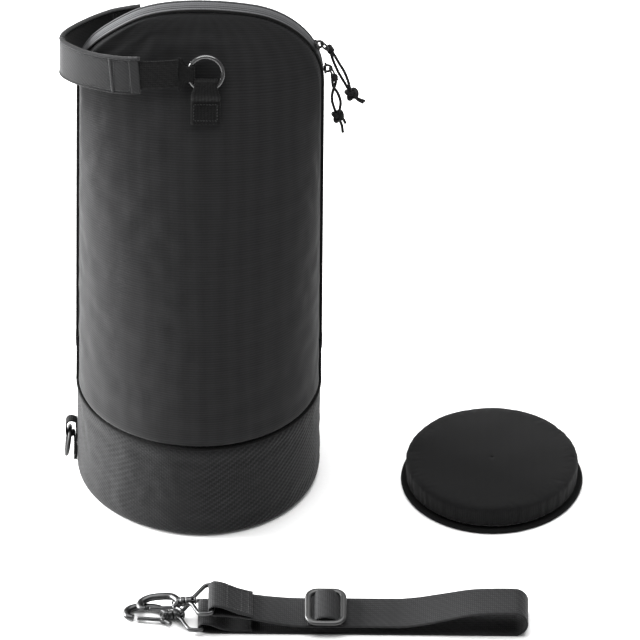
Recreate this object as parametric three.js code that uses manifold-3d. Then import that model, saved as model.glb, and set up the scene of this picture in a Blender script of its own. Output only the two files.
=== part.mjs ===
// Carry case for a small telescope: a round padded cup with a tall tapering body that opens by a zip
// over its top, and beside it the two loose things that belong to it, a shoulder strap and a padded cap.
// Millimetres, +Z up, +X to the right, the front faces -Y. Origin: centre of the case's underside.
import * as THREE from "three";
import { mergeVertices } from "three/addons/utils/BufferGeometryUtils.js";
import Module from "manifold-3d";

const wasm = await Module();
wasm.setup();

// ---------- driving dimensions ----------
const GAP = 0.3; // between touching pieces
const RADIUS = 110; // base cup
const BAND_HEIGHT = 100;
const HEIGHT = 518;
const WALL = 8; // padded panel
const CUP_FLOOR = 6;
const BOARD = { radius: 101.4, thickness: 2 };
const PAD = { radius: 101.2, thickness: 10 };

// the arch in front view: straight sides, two corner arcs and a flat crown arc
const CORNER_RADIUS = 76;
const SPRING_Z = 439; // where the corner arcs start
const CORNER_X = RADIUS - CORNER_RADIUS;
const RISE = HEIGHT - SPRING_Z;
const CROWN_DROP = (CORNER_X ** 2 - (RISE - CORNER_RADIUS) ** 2) / (2 * (RISE - CORNER_RADIUS));
const CROWN_RADIUS = RISE + CROWN_DROP;
const CROWN_ANGLE = Math.atan2(CROWN_DROP, CORNER_X);

const GUSSET_HALF = 6.5; // half of the strip that carries the zip
const GUSSET_THICKNESS = 6;
const COIL = { inner: 0.15, outer: 2.5, proud: 0.3, depth: 2.5 };
const PANEL_INSET = 1; // panels lie this far inside the gusset's outline
const TAPER_POWER = 1.6; // how the depth falls from the cup to the crown
const SPLIT_Z = 150; // the front panel opens above this height
const PIPING_RADIUS = 1.2;

const WEBBING = { wide: 38, narrow: 25, thickness: 2 };
const RING = { centreline: 15.5, wire: 2, x: 5, y: 33.2, z: 464, lean: 0.367 };
const TAB_LENGTH = 48; // from the ring's centre down to the stitched end

const HANDLE_Z = 467; // middle height of the handle band
const LOWER_RING = { centreline: 13, wire: 1.75, x: -116.6, z: 39.2, lean: 0.14 };

const SLIDER_1_ANGLE = 0.445; // on the corner arc, above the horizontal
const SLIDER_2_Z = 447;
const SLIDER_CLEARANCE = 1.4; // from the gusset's outline to the slider's underside
const CORD_RADIUS = 1.35;

const CAP = { x: 267, y: -20, radius: 78, height: 25, wall: 4, top: 7, flange: 82.5, hem: 3.5 };

const STRAP_Y = -236; // middle of the strap's width
const STRAP_RIGHT = 300; // outside of the fold
const GLIDE = { x: 117, z: 16, long: 38, wide: 48, thick: 4, bar: 5, centreBar: 10 };

// ---------- materials ----------
function finish(color, roughness, metalness) {
  return new THREE.MeshStandardMaterial({ color, roughness, metalness });
}
const FABRIC = finish(0x2a2b2e, 0.9, 0);
const TRIM = finish(0x0c0c0d, 0.7, 0);
const WEB = finish(0x242427, 0.85, 0);
const METAL = finish(0x2a2a2d, 0.3, 1);
const FOAM = finish(0x1d1d20, 0.95, 0);
const BOARD_FINISH = finish(0x303032, 0.6, 0);
const CORD = finish(0x121214, 0.8, 0);

// ---------- solids ----------
function solid(geometry) {
  const bare = geometry.clone();
  bare.deleteAttribute("normal");
  bare.deleteAttribute("uv");
  const merged = mergeVertices(bare, 1e-4);
  return new wasm.Manifold(
    new wasm.Mesh({
      numProp: 3,
      vertProperties: merged.attributes.position.array,
      triVerts: new Uint32Array(merged.index.array),
    }),
  );
}

function geometryOf(manifold) {
  const mesh = manifold.getMesh();
  const geometry = new THREE.BufferGeometry();
  geometry.setAttribute("position", new THREE.BufferAttribute(mesh.vertProperties, 3));
  geometry.setIndex(new THREE.BufferAttribute(mesh.triVerts, 1));
  return geometry;
}

// A closed solid through a stack of rings, each a list of points, with a fan over the first and the last.
function loft(rings) {
  const count = rings[0].length;
  const points = rings.flat();
  const first = points.length;
  const centre = (ring) => ring.reduce((sum, p) => sum.add(p), new THREE.Vector3()).divideScalar(count);
  points.push(centre(rings[0]), centre(rings[rings.length - 1]));
  const index = [];
  for (let k = 0; k < count; k += 1) {
    const next = (k + 1) % count;
    for (let r = 0; r + 1 < rings.length; r += 1) {
      const a = r * count + k;
      const b = r * count + next;
      index.push(a, b, b + count, a, b + count, a + count);
    }
    const top = (rings.length - 1) * count;
    index.push(first, next, k, first + 1, top + k, top + next);
  }
  let volume = 0;
  for (let i = 0; i < index.length; i += 3) {
    const [a, b, c] = [points[index[i]], points[index[i + 1]], points[index[i + 2]]];
    volume += a.dot(b.clone().cross(c));
  }
  if (volume < 0) index.reverse();
  const geometry = new THREE.BufferGeometry();
  geometry.setFromPoints(points);
  geometry.setIndex(index);
  return geometry;
}

// A shape drawn in the XZ plane, made thick along Y from y0 to y1.
function plateXZ(shape, y0, y1, curveSegments = 16) {
  const geometry = new THREE.ExtrudeGeometry(shape, {
    depth: y1 - y0,
    bevelEnabled: false,
    curveSegments,
  });
  geometry.rotateX(Math.PI / 2);
  geometry.translate(0, y1, 0);
  return geometry;
}

// A shape drawn in the XY plane, made thick along Z from z0 to z1.
function plateXY(shape, z0, z1, curveSegments = 12) {
  const geometry = new THREE.ExtrudeGeometry(shape, {
    depth: z1 - z0,
    bevelEnabled: false,
    curveSegments,
  });
  geometry.translate(0, 0, z0);
  return geometry;
}

function disc(radius, z0, z1, segments) {
  const geometry = new THREE.CylinderGeometry(radius, radius, z1 - z0, segments);
  geometry.rotateX(Math.PI / 2);
  geometry.translate(0, 0, (z0 + z1) / 2);
  return geometry;
}

// A round section swept along a smooth curve through the given points.
function tube(points, radius, sides, steps) {
  const path = new THREE.CatmullRomCurve3(points, false, "centripetal");
  return sweep(path, radius, sides, steps);
}

function sweep(path, radius, sides, steps) {
  const section = new THREE.Shape();
  for (let k = 0; k < sides; k += 1) {
    const angle = (2 * Math.PI * k) / sides;
    const corner = [radius * Math.cos(angle), radius * Math.sin(angle)];
    if (k === 0) section.moveTo(...corner);
    else section.lineTo(...corner);
  }
  return new THREE.ExtrudeGeometry(section, { extrudePath: path, steps, bevelEnabled: false });
}

// A strip of even thickness that follows a line of points in a plane: the outline of a folded webbing.
function stripShape(points, thickness) {
  const side = (sign) =>
    points.map((p, i) => {
      const before = points[Math.max(i - 1, 0)];
      const after = points[Math.min(i + 1, points.length - 1)];
      const along = after.clone().sub(before).normalize();
      const across = new THREE.Vector2(-along.y, along.x);
      return p.clone().addScaledVector(across, (sign * thickness) / 2);
    });
  return new THREE.Shape([...side(1), ...side(-1).reverse()]);
}

function smooth(points, divisions) {
  return new THREE.SplineCurve(points).getPoints(divisions);
}

function v2(x, y) {
  return new THREE.Vector2(x, y);
}

function v3(x, y, z) {
  return new THREE.Vector3(x, y, z);
}

function arcPoints(centre, radius, from, to, count) {
  const points = [];
  for (let k = 0; k <= count; k += 1) {
    const angle = from + ((to - from) * k) / count;
    points.push(v2(centre.x + radius * Math.cos(angle), centre.y + radius * Math.sin(angle)));
  }
  return points;
}

function roundedRectangle(half, corner) {
  const points = [];
  for (let k = 0; k < 4; k += 1) {
    const across = k === 0 || k === 3 ? 1 : -1;
    const up = k < 2 ? 1 : -1;
    const centre = v2(across * (half.x - corner), up * (half.y - corner));
    points.push(...arcPoints(centre, corner, (k * Math.PI) / 2, ((k + 1) * Math.PI) / 2, 4));
  }
  return points;
}

const root = new THREE.Group();
function place(name, geometry, material, parent = root) {
  const mesh = new THREE.Mesh(geometry, material);
  mesh.name = name;
  parent.add(mesh);
  return mesh;
}

// ---------- the case's outline ----------
// The arch from the left foot to the right foot, moved outward by offset.
function archPoints(offset, footZ) {
  const half = RADIUS + offset;
  const corner = CORNER_RADIUS + offset;
  const crown = CROWN_RADIUS + offset;
  const points = [v2(-half, footZ)];
  points.push(...arcPoints(v2(-CORNER_X, SPRING_Z), corner, Math.PI, Math.PI - CROWN_ANGLE, 8));
  const crownCentre = v2(0, SPRING_Z - CROWN_DROP);
  points.push(...arcPoints(crownCentre, crown, Math.PI - CROWN_ANGLE, CROWN_ANGLE, 4).slice(1, -1));
  points.push(...arcPoints(v2(CORNER_X, SPRING_Z), corner, CROWN_ANGLE, 0, 8));
  points.push(v2(half, footZ));
  return points;
}

function halfWidth(z, offset) {
  if (z <= SPRING_Z) return RADIUS + offset;
  const rise = z - SPRING_Z;
  const corner = CORNER_RADIUS + offset;
  if (rise < corner * Math.sin(CROWN_ANGLE)) return CORNER_X + Math.sqrt(corner ** 2 - rise ** 2);
  return Math.sqrt(Math.max((CROWN_RADIUS + offset) ** 2 - (rise + CROWN_DROP) ** 2, 0));
}

// How far a panel stands out of its seam plane at height z.
function panelDepth(z) {
  const up = Math.max(0, (z - BAND_HEIGHT) / (HEIGHT - BAND_HEIGHT));
  return (RADIUS - GUSSET_HALF) * (1 - up ** TAPER_POWER);
}

function archBand(outer, inner, footZ, y0, y1) {
  const outline = [...archPoints(outer, footZ), ...archPoints(inner, footZ).reverse()];
  return plateXZ(new THREE.Shape(outline), y0, y1);
}

// ---------- base cup ----------
function baseCup() {
  const edge = 7;
  const profile = [v2(0, 0), v2(RADIUS - edge, 0)];
  profile.push(...arcPoints(v2(RADIUS - edge, edge), edge, -Math.PI / 2, 0, 2).slice(1));
  profile.push(v2(RADIUS, BAND_HEIGHT - GAP), v2(RADIUS - WALL, BAND_HEIGHT - GAP));
  profile.push(v2(RADIUS - WALL, CUP_FLOOR), v2(0, CUP_FLOOR));
  const cup = new THREE.LatheGeometry(profile, 48);
  cup.rotateX(Math.PI / 2);
  place("base_cup", cup, FABRIC);

  const boardZ = CUP_FLOOR + GAP;
  const padZ = boardZ + BOARD.thickness + GAP;
  place("base_board", disc(BOARD.radius, boardZ, boardZ + BOARD.thickness, 40), BOARD_FINISH);
  place("floor_pad", disc(PAD.radius, padZ, padZ + PAD.thickness, 40), FOAM);

  const piping = new THREE.TorusGeometry(RADIUS + PIPING_RADIUS + GAP, PIPING_RADIUS, 5, 48);
  piping.translate(0, 0, BAND_HEIGHT - GAP / 2 - PIPING_RADIUS);
  place("band_piping", piping, TRIM);
}

// ---------- padded walls ----------
// One D-shaped section of a wall: an elliptical front over a flat seam plane.
function wallRing(side, z, inset, wall, seam) {
  const half = halfWidth(z, -inset - wall);
  const depth = panelDepth(z) - wall;
  const count = 18;
  const ring = [];
  for (let k = 0; k <= count; k += 1) {
    const angle = (Math.PI * k) / count;
    const y = GUSSET_HALF + Math.max(depth, 0.05) * Math.sin(angle);
    ring.push(v3(-half * Math.cos(angle), side * y, z));
  }
  ring[0].y = side * seam;
  ring[count].y = side * seam;
  return ring;
}

function levels(from, to) {
  const straight = 5;
  const curved = 7;
  const list = [];
  const bend = Math.min(to, SPRING_Z);
  for (let k = 0; k < straight; k += 1) list.push(from + ((bend - from) * k) / straight);
  list.push(bend);
  if (to > SPRING_Z) {
    const last = Math.asin((to - SPRING_Z) / RISE);
    for (let k = 1; k <= curved; k += 1) list.push(SPRING_Z + RISE * Math.sin((last * k) / curved));
  }
  return list;
}

function paddedWall(side, fromZ, toZ) {
  const seam = GUSSET_HALF + GAP / 2;
  const crown = Math.min(toZ, HEIGHT - PANEL_INSET - 0.1);
  const outside = levels(fromZ, crown).map((z) => wallRing(side, z, PANEL_INSET, 0, seam));
  const hollowTop = toZ < SPRING_Z ? toZ + 1 : HEIGHT - 22;
  const inside = levels(fromZ - 1, hollowTop).map((z) => wallRing(side, z, PANEL_INSET, WALL, seam - 2));
  return geometryOf(solid(loft(outside)).subtract(solid(loft(inside))));
}

function walls() {
  const foot = BAND_HEIGHT + GAP / 2;
  place("back_shell", paddedWall(1, foot, HEIGHT), FABRIC);
  place("front_lower", paddedWall(-1, foot, SPLIT_Z), FABRIC);
  place("front_panel", paddedWall(-1, SPLIT_Z + GAP, HEIGHT), FABRIC);
}

// ---------- gusset, zip and piping ----------
function gusset() {
  const foot = SPLIT_Z + GAP;
  const stripInner = COIL.outer + 0.1;
  const inner = -GUSSET_THICKNESS;
  place("gusset_back", archBand(0, inner, foot, stripInner, GUSSET_HALF), FABRIC);
  place("gusset_front", archBand(0, inner, foot, -GUSSET_HALF, -stripInner), FABRIC);
  const coilFrom = COIL.proud;
  const coilTo = COIL.proud - COIL.depth;
  place("zip_coil_back", archBand(coilFrom, coilTo, foot, COIL.inner, COIL.outer), TRIM);
  place("zip_coil_front", archBand(coilFrom, coilTo, foot, -COIL.outer, -COIL.inner), TRIM);

  for (const [name, side] of [["left", -1], ["right", 1]]) {
    const strip = new THREE.BoxGeometry(GUSSET_THICKNESS, 2 * GUSSET_HALF, SPLIT_Z - BAND_HEIGHT - GAP);
    const part = place(`gusset_side_${name}`, strip, FABRIC);
    part.position.set(side * (RADIUS - GUSSET_THICKNESS / 2), 0, (SPLIT_Z + BAND_HEIGHT) / 2);
    const tab = new THREE.BoxGeometry(2.4, 2 * GUSSET_HALF, 11);
    const end = place(`zip_end_${name}`, tab, WEB);
    end.position.set(side * (RADIUS + GAP + 1.2), 0, SPLIT_Z - 6.5);
  }
}

// A round piping along the arch in the plane at y, mitred at every corner of the line.
function archPiping(offset, footZ, y, radius, sides) {
  const line = archPoints(offset, footZ);
  const rings = line.map((p, i) => {
    const before = line[Math.max(i - 1, 0)];
    const after = line[Math.min(i + 1, line.length - 1)];
    const along = after.clone().sub(before).normalize();
    const section = [];
    for (let k = 0; k < sides; k += 1) {
      const angle = (2 * Math.PI * k) / sides;
      const out = radius * Math.cos(angle);
      section.push(v3(p.x - along.y * out, y + radius * Math.sin(angle), p.y + along.x * out));
    }
    return section;
  });
  return loft(rings);
}

function pipings() {
  const offset = PIPING_RADIUS + GAP - PANEL_INSET;
  for (const [name, side] of [["front", -1], ["back", 1]]) {
    const y = side * (GUSSET_HALF + GAP / 2 + PIPING_RADIUS);
    place(`piping_${name}`, archPiping(offset, SPLIT_Z + GAP, y, PIPING_RADIUS, 6), TRIM);
  }
}

// ---------- O-rings, their tabs and the handle ----------
// A frame at a ring's centre that leans back with the panel: its -Y faces out of the case.
function ringFrame(side) {
  const group = new THREE.Group();
  group.position.set(RING.x, side * RING.y, RING.z);
  group.rotation.order = "ZXY";
  group.rotation.x = -RING.lean;
  if (side > 0) group.rotation.z = Math.PI;
  root.add(group);
  return group;
}

// Folded webbing seen from its edge: a slot at the top that holds the ring, two flat layers below it.
function tabProfile() {
  const back = 5.25;
  const front = -4.8;
  const outline = [
    v2(back, -TAB_LENGTH), v2(back, -7.4), v2(3.6, -5.3), v2(0.2, -4.7), v2(-3.2, -5.3),
    v2(front, -7.4), v2(front, -18.8), v2(2.1, -25), v2(2.1, -TAB_LENGTH),
  ];
  const slot = [
    v2(3.75, -18.4), v2(-3.3, -18.4), v2(-3.3, -8), v2(-2.2, -6.6), v2(2.6, -6.6), v2(3.75, -8),
  ];
  const shape = new THREE.Shape(outline);
  shape.holes.push(new THREE.Path(slot));
  return shape;
}

function ringTab(name, frame) {
  const strip = new THREE.ExtrudeGeometry(tabProfile(), { depth: WEBBING.narrow, bevelEnabled: false });
  strip.rotateX(Math.PI / 2);
  strip.rotateZ(Math.PI / 2);
  strip.translate(-WEBBING.narrow / 2, 0, 0);
  const half = WEBBING.narrow / 2 + 1;
  const taper = new THREE.Shape([
    v2(-half, -TAB_LENGTH - 1), v2(half, -TAB_LENGTH - 1), v2(half, -21), v2(9.2, -12), v2(9.2, 0),
    v2(-9.2, 0), v2(-9.2, -12), v2(-half, -21),
  ]);
  const cutter = plateXZ(taper, -20, 20);
  place(name, geometryOf(solid(strip).intersect(solid(cutter))), WEB, frame);
}

function oRing(name, size, frame) {
  const ring = new THREE.TorusGeometry(size.centreline, size.wire, 6, 28);
  ring.rotateX(Math.PI / 2);
  return place(name, ring, METAL, frame);
}

// The handle's end folds round the ring's left side.
function handleEnd(name, side, frame) {
  const fold = [
    v2(-24, -4.2), v2(-19.5, -4.2), v2(-18, -3.9), v2(-11.4, -3.9), v2(-9.6, -2.6), v2(-9.6, 2.6),
    v2(-11.4, 3.9), v2(-19, 3.9), v2(-24, 0),
  ];
  const hole = [
    v2(-18.1, -2.6), v2(-11.4, -2.6), v2(-10.9, -2.2), v2(-10.9, 2.2), v2(-11.4, 2.6), v2(-18.1, 2.6),
  ];
  const mirrored = (points) => points.map((p) => v2(-p.x, p.y)).reverse();
  const turned = (points) => (side > 0 ? mirrored(points) : points);
  const shape = new THREE.Shape(turned(fold));
  shape.holes.push(new THREE.Path(turned(hole)));
  place(name, plateXY(shape, -7.5, 7.5), WEB, frame);
}

// Half of the handle's plan line, from the end fold round to the left end, and its band.
function handleLine(side) {
  const knots = [
    v2(-20.5, side * 37.6), v2(-38, side * 40), v2(-55, side * 40.5), v2(-74, side * 37.5),
    v2(-93, side * 30), v2(-110, side * 19.5), v2(-122, side * 8), v2(-125.2, side * GAP / 2),
  ];
  return smooth(knots, 22);
}

function handleHalf(name, side) {
  const sleeveFrom = -54;
  const line = handleLine(side);
  const webbingLine = line.filter((p) => p.x > sleeveFrom);
  const sleeveLine = line.filter((p) => p.x < sleeveFrom - GAP);
  const webHalf = WEBBING.wide / 2 - 3.5;
  const webbing = plateXY(stripShape(webbingLine, 2.4), HANDLE_Z - webHalf, HANDLE_Z + webHalf);
  place(`handle_webbing_${name}`, webbing, WEB);
  const sleeveHalf = 20;
  const sleeve = plateXY(stripShape(sleeveLine, 4), HANDLE_Z - sleeveHalf, HANDLE_Z + sleeveHalf);
  const midCut = new THREE.BoxGeometry(200, 40, 100);
  midCut.translate(-100, side * -(20 - GAP / 2), HANDLE_Z);
  place(`handle_sleeve_${name}`, geometryOf(solid(sleeve).subtract(solid(midCut))), WEB);
}

function carryHandle() {
  for (const [name, side] of [["front", -1], ["back", 1]]) {
    const frame = ringFrame(side);
    ringTab(`${name}_ring_tab`, frame);
    oRing(`${name}_ring`, RING, frame);
    handleEnd(`handle_end_${name}`, side, frame);
    handleHalf(name, side);
  }
}

// ---------- lower side tab ----------
function lowerTab() {
  const left = -RADIUS - GAP;
  const bottom = 8;
  const outline = [
    v2(left, bottom), v2(left, 49.2), v2(left - 3, 51.9), v2(left - 7.5, 51.6), v2(left - 10.3, 48.5),
    v2(left - 10.6, 36), v2(left - 8.4, 32.8), v2(left - 5, 32.6), v2(left - 3, 34.4),
    v2(left - 3, bottom),
  ];
  const hole = [
    v2(left - 3.6, 46.6), v2(left - 3.7, 36.6), v2(left - 5.1, 34.4), v2(left - 7.8, 34.5),
    v2(left - 9, 36.7), v2(left - 8.8, 46.8), v2(left - 7, 49.6), v2(left - 4.9, 49.4),
  ];
  const shape = new THREE.Shape(outline);
  shape.holes.push(new THREE.Path(hole));
  place("lower_tab", plateXZ(shape, -5, 5), WEB);

  const ring = new THREE.TorusGeometry(LOWER_RING.centreline, LOWER_RING.wire, 6, 24);
  ring.rotateY(Math.PI / 2);
  ring.translate(0, 0, -LOWER_RING.centreline);
  ring.rotateY(LOWER_RING.lean);
  const part = place("lower_ring", ring, METAL);
  part.position.set(LOWER_RING.x, 0, LOWER_RING.z);
}

// ---------- zip sliders and their pulls ----------
const BRIDGE = { centre: 1.7, half: 3.6, reach: 5.2, wire: 0.9, ringAt: 4.9 };
const PULL_RING = { radius: 4, wire: 0.8, long: 1.15, wide: 0.85 };

// Local frame: X points out of the case, Z along the zip.
function sliderSolid() {
  const plan = new THREE.Shape([
    v2(-4.6, -2.4), v2(-1, -3.8), v2(3.4, -3.8), v2(4.6, -2.8), v2(4.6, 2.8), v2(3.4, 3.8),
    v2(-1, 3.8), v2(-4.6, 2.4),
  ]);
  const plate = plateXY(plan, 0, 2.2);
  plate.rotateY(Math.PI / 2);
  const arch = arcPoints(v2(0, 0), 1, -Math.PI / 2, Math.PI / 2, 10);
  const path = new THREE.CatmullRomCurve3(
    arch.map((p) => v3(BRIDGE.centre + BRIDGE.reach * p.x, 0, BRIDGE.half * p.y)),
  );
  return geometryOf(solid(plate).add(solid(sweep(path, BRIDGE.wire, 6, 8))));
}

// A slider with its wire pull ring hung in the bridge; the ring points along direction in the XZ plane.
function slider(number, x, z, angle, direction) {
  const part = place(`slider_${number}`, sliderSolid(), METAL);
  part.position.set(x, 0, z);
  part.rotation.y = -angle;

  const wire = new THREE.TorusGeometry(PULL_RING.radius, PULL_RING.wire, 6, 16);
  wire.scale(PULL_RING.long, PULL_RING.wide, 1);
  const ring = place(`pull_ring_${number}`, wire, METAL);
  const reach = PULL_RING.radius * PULL_RING.long;
  const hang = v2(x + BRIDGE.ringAt * Math.cos(angle), z + BRIDGE.ringAt * Math.sin(angle));
  ring.position.set(hang.x + reach * Math.cos(direction), 0, hang.y + reach * Math.sin(direction));
  ring.rotation.y = -direction;
}

function cord(name, points) {
  place(name, tube(points, CORD_RADIUS, 8, 10), CORD);
}

// A tied knot with the cord's cut ends standing out of it.
function knot(name, centre, radii, tails) {
  const ball = new THREE.SphereGeometry(1, 10, 6);
  ball.scale(...radii);
  ball.translate(...centre);
  const joined = tails.reduce((sum, tail) => sum.add(solid(tube(tail, CORD_RADIUS, 6, 4))), solid(ball));
  place(name, geometryOf(joined), CORD);
}

function zipPulls() {
  const out = CORNER_RADIUS + SLIDER_CLEARANCE;
  const x1 = CORNER_X + out * Math.cos(SLIDER_1_ANGLE);
  const z1 = SPRING_Z + out * Math.sin(SLIDER_1_ANGLE);
  slider(1, x1, z1, SLIDER_1_ANGLE, -0.75);
  slider(2, RADIUS + SLIDER_CLEARANCE, SLIDER_2_Z, 0, -1.05);

  cord("cord_1a", [
    v3(116.9, 2.2, 466.4), v3(118.8, 2.2, 463.2), v3(121.2, 2.2, 458.6), v3(124.8, 2.3, 451),
    v3(129.7, 2.6, 441), v3(133.2, 3, 430), v3(134.8, 3.4, 421.9),
  ]);
  cord("cord_1b", [
    v3(115.6, 5.9, 465.6), v3(117.2, 6, 459.6), v3(119.8, 6.2, 450), v3(124.2, 6.4, 438),
    v3(129.3, 6.6, 427.5), v3(132.2, 6.8, 421.4),
  ]);
  knot("knot_1", [136.2, 5.6, 414.4], [7, 5.2, 5.6], [
    [v3(136.2, 5.6, 414.4), v3(143.2, 4, 409.9), v3(148.6, 3.4, 408.2)],
    [v3(136.2, 5.6, 414.4), v3(141.4, 7, 407.6), v3(146.8, 8, 403.1)],
  ]);
  cord("cord_2a", [
    v3(122.2, -2.2, 438), v3(121.6, -2.4, 431), v3(119.2, -2.6, 422.5), v3(118.7, -2.8, 413.5),
    v3(120.9, -3.4, 404.7),
  ]);
  cord("cord_2b", [
    v3(118.4, -6.2, 435), v3(120, -6.3, 430.5), v3(123.6, -6.4, 424.5), v3(126.3, -6.6, 415.5),
    v3(126, -6.8, 408), v3(125.2, -7, 404.9),
  ]);
  knot("knot_2", [123.9, -5.2, 397.5], [6.2, 5.2, 6], [
    [v3(123.9, -5.2, 397.5), v3(127.4, -5, 388.4), v3(128.7, -5, 379.4)],
    [v3(123.9, -5.2, 397.5), v3(128.5, -6.5, 396), v3(131, -7.2, 391)],
  ]);
}

// ---------- shoulder strap ----------
const EYE_A = { x: 17, z: 25.6, loop: 5.3, yaw: -0.122, pitch: -0.219 };
const EYE_B = { x: 7, z: 6.3, loop: 4.4, yaw: -0.07, pitch: -0.04 };
const FLAT_Z = 8.8; // upper layer where the tri-glide slides

function strapLine() {
  const lay = WEBBING.thickness / 2;
  const turn = 12;
  const line = [v2(51, 3.6), v2(31, 3.6), v2(21, 6.2), v2(13, 9.8)];
  line.push(...arcPoints(v2(EYE_B.x, EYE_B.z), EYE_B.loop, Math.PI / 2, 1.5 * Math.PI, 8));
  line.push(v2(15, lay), v2(31, lay), v2(120, lay), v2(220, lay));
  const bend = v2(STRAP_RIGHT - turn - lay, lay + turn);
  line.push(...arcPoints(bend, turn, -Math.PI / 2, Math.PI / 2, 10));
  const rise = [
    v2(288, 25), v2(268, 24.9), v2(248, 23), v2(225, 17), v2(203, 11.4), v2(186, 9), v2(172, FLAT_Z),
  ];
  line.push(...smooth(rise, 14).slice(2));
  line.push(...smooth([v2(92, FLAT_Z), v2(78, 10.6), v2(54, 15.8), v2(36, 19), v2(24, 20.2)], 10));
  line.push(...arcPoints(v2(EYE_A.x, EYE_A.z), EYE_A.loop, -Math.PI / 2, -1.5 * Math.PI, 8));
  line.push(v2(24, 29.4), v2(31, 26.2), v2(39, 22.8), v2(51, 19.4));
  return line;
}

function strapWebbing() {
  const half = WEBBING.wide / 2;
  const outline = stripShape(strapLine(), WEBBING.thickness);
  place("strap_webbing", plateXZ(outline, STRAP_Y - half, STRAP_Y + half), WEB);
}

function triGlide() {
  const half = v2(GLIDE.long / 2, GLIDE.wide / 2);
  const frame = new THREE.Shape(roundedRectangle(half, 3));
  const slotLong = WEBBING.wide + 2;
  const slotWide = half.x - GLIDE.bar - GLIDE.centreBar / 2;
  let plate = solid(plateXY(frame, 0, GLIDE.thick));
  for (const side of [-1, 1]) {
    const slot = new THREE.BoxGeometry(slotWide, slotLong, 3 * GLIDE.thick);
    slot.translate((side * (GLIDE.centreBar + slotWide)) / 2, 0, 0);
    plate = plate.subtract(solid(slot));
  }
  const part = place("tri_glide", geometryOf(plate), METAL);
  part.position.set(GLIDE.x, STRAP_Y, GLIDE.z - GLIDE.thick / 2);

  const hump = [
    v2(-16.5, 11.2), v2(-13, 12), v2(-9.2, 15.6), v2(-6.4, 19), v2(0, 20.4),
    v2(6.4, 19), v2(9.2, 15.6), v2(13, 12), v2(16.5, 11.2),
  ];
  const over = stripShape(smooth(hump, 18), WEBBING.thickness);
  const threaded = plateXZ(over, -WEBBING.wide / 2, WEBBING.wide / 2);
  place("glide_webbing", threaded, WEB).position.set(GLIDE.x, STRAP_Y, 0);
}

// ---------- snap hooks ----------
// Local frame of a hook: the swivel turns about X, the strap's eye lies towards +X, the nose towards -X.
const HOOK = { rod: 3.3, barrel: 4.6, post: 1.9 };
const EYE = { collar: 4.2, bore: 2.3, wire: 1.75, barAt: 24, half: WEBBING.wide / 2 + 2.9 };
const PIVOT = { x: -12, y: -7.4, pin: 1, boss: 2.5 };

function rod(from, to, radius, sides = 8) {
  return solid(sweep(new THREE.LineCurve3(from, to), radius, sides, 1));
}

// The strap's eye: a straight bar, and two side arms that bend in to the swivel's collar.
function hookEye(name, frame) {
  const { barAt, half, wire } = EYE;
  let eye = rod(v3(-3, 0, 0), v3(3, 0, 0), EYE.collar, 14);
  eye = eye.add(rod(v3(barAt, -half, 0), v3(barAt, half, 0), wire));
  for (const side of [-1, 1]) {
    const arm = [[0.5, 3.2], [4, 6.4], [8, 14], [12, 20.6], [16, half], [barAt, half]];
    eye = eye.add(solid(tube(arm.map(([x, y]) => v3(x, side * y, 0)), wire, 8, 10)));
    const corner = new THREE.SphereGeometry(wire, 8, 6);
    corner.translate(barAt, side * half, 0);
    eye = eye.add(solid(corner));
  }
  eye = eye.subtract(rod(v3(-4, 0, 0), v3(4, 0, 0), EYE.bore, 12));
  place(name, geometryOf(eye), METAL, frame);
}

function hookBody(name, frame) {
  const knots = [
    v3(-9, 0, 0), v3(-13.5, 4, 0), v3(-19, 9.4, 0), v3(-29, 12, 0), v3(-39, 10.4, 0),
    v3(-46, 4, 0), v3(-44.6, -2.8, 0), v3(-39.5, -5, 0),
  ];
  let body = solid(tube(knots, HOOK.rod, 8, 14));
  body = body.add(rod(v3(-12.5, 0, 0), v3(-3.3, 0, 0), HOOK.barrel, 12));
  body = body.add(rod(v3(-4, 0, 0), v3(5, 0, 0), HOOK.post, 10));
  body = body.add(rod(v3(3.3, 0, 0), v3(5.2, 0, 0), HOOK.post + 1.4, 10));
  for (const side of [-1, 1]) {
    const ear = new THREE.BoxGeometry(5, 6.4, 1.3);
    ear.translate(PIVOT.x, PIVOT.y / 2 - 2.4, side * 3);
    body = body.add(solid(ear));
  }
  body = body.add(rod(v3(PIVOT.x, PIVOT.y, -3.3), v3(PIVOT.x, PIVOT.y, 3.3), PIVOT.pin, 8));
  place(name, geometryOf(body), METAL, frame);
}

function hookGate(name, frame) {
  const arm = [
    v3(-35.7, -6.2, 0), v3(-26, -6.6, 0), v3(-18, -7.2, 0), v3(PIVOT.x, PIVOT.y - 0.4, 0),
    v3(-8.5, -10.4, 0), v3(-5, -13.6, 0),
  ];
  let gate = solid(tube(arm, 1.9, 6, 10));
  gate = gate.add(rod(v3(PIVOT.x, PIVOT.y, -1.9), v3(PIVOT.x, PIVOT.y, 1.9), PIVOT.boss, 10));
  gate = gate.subtract(rod(v3(PIVOT.x, PIVOT.y, -4), v3(PIVOT.x, PIVOT.y, 4), PIVOT.pin + GAP, 8));
  place(name, geometryOf(gate), METAL, frame);
}

function snapHook(letter, eye) {
  const frame = new THREE.Group();
  frame.rotation.order = "ZYX";
  frame.rotation.z = eye.yaw;
  frame.rotation.y = eye.pitch;
  const offset = v3(-EYE.barAt, 0, 0).applyEuler(frame.rotation);
  frame.position.set(eye.x, STRAP_Y, eye.z).add(offset);
  root.add(frame);
  hookEye(`hook_${letter}_eye`, frame);
  hookBody(`hook_${letter}_body`, frame);
  hookGate(`hook_${letter}_gate`, frame);
}

function shoulderStrap() {
  strapWebbing();
  triGlide();
  snapHook("a", EYE_A);
  snapHook("b", EYE_B);
}

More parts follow.
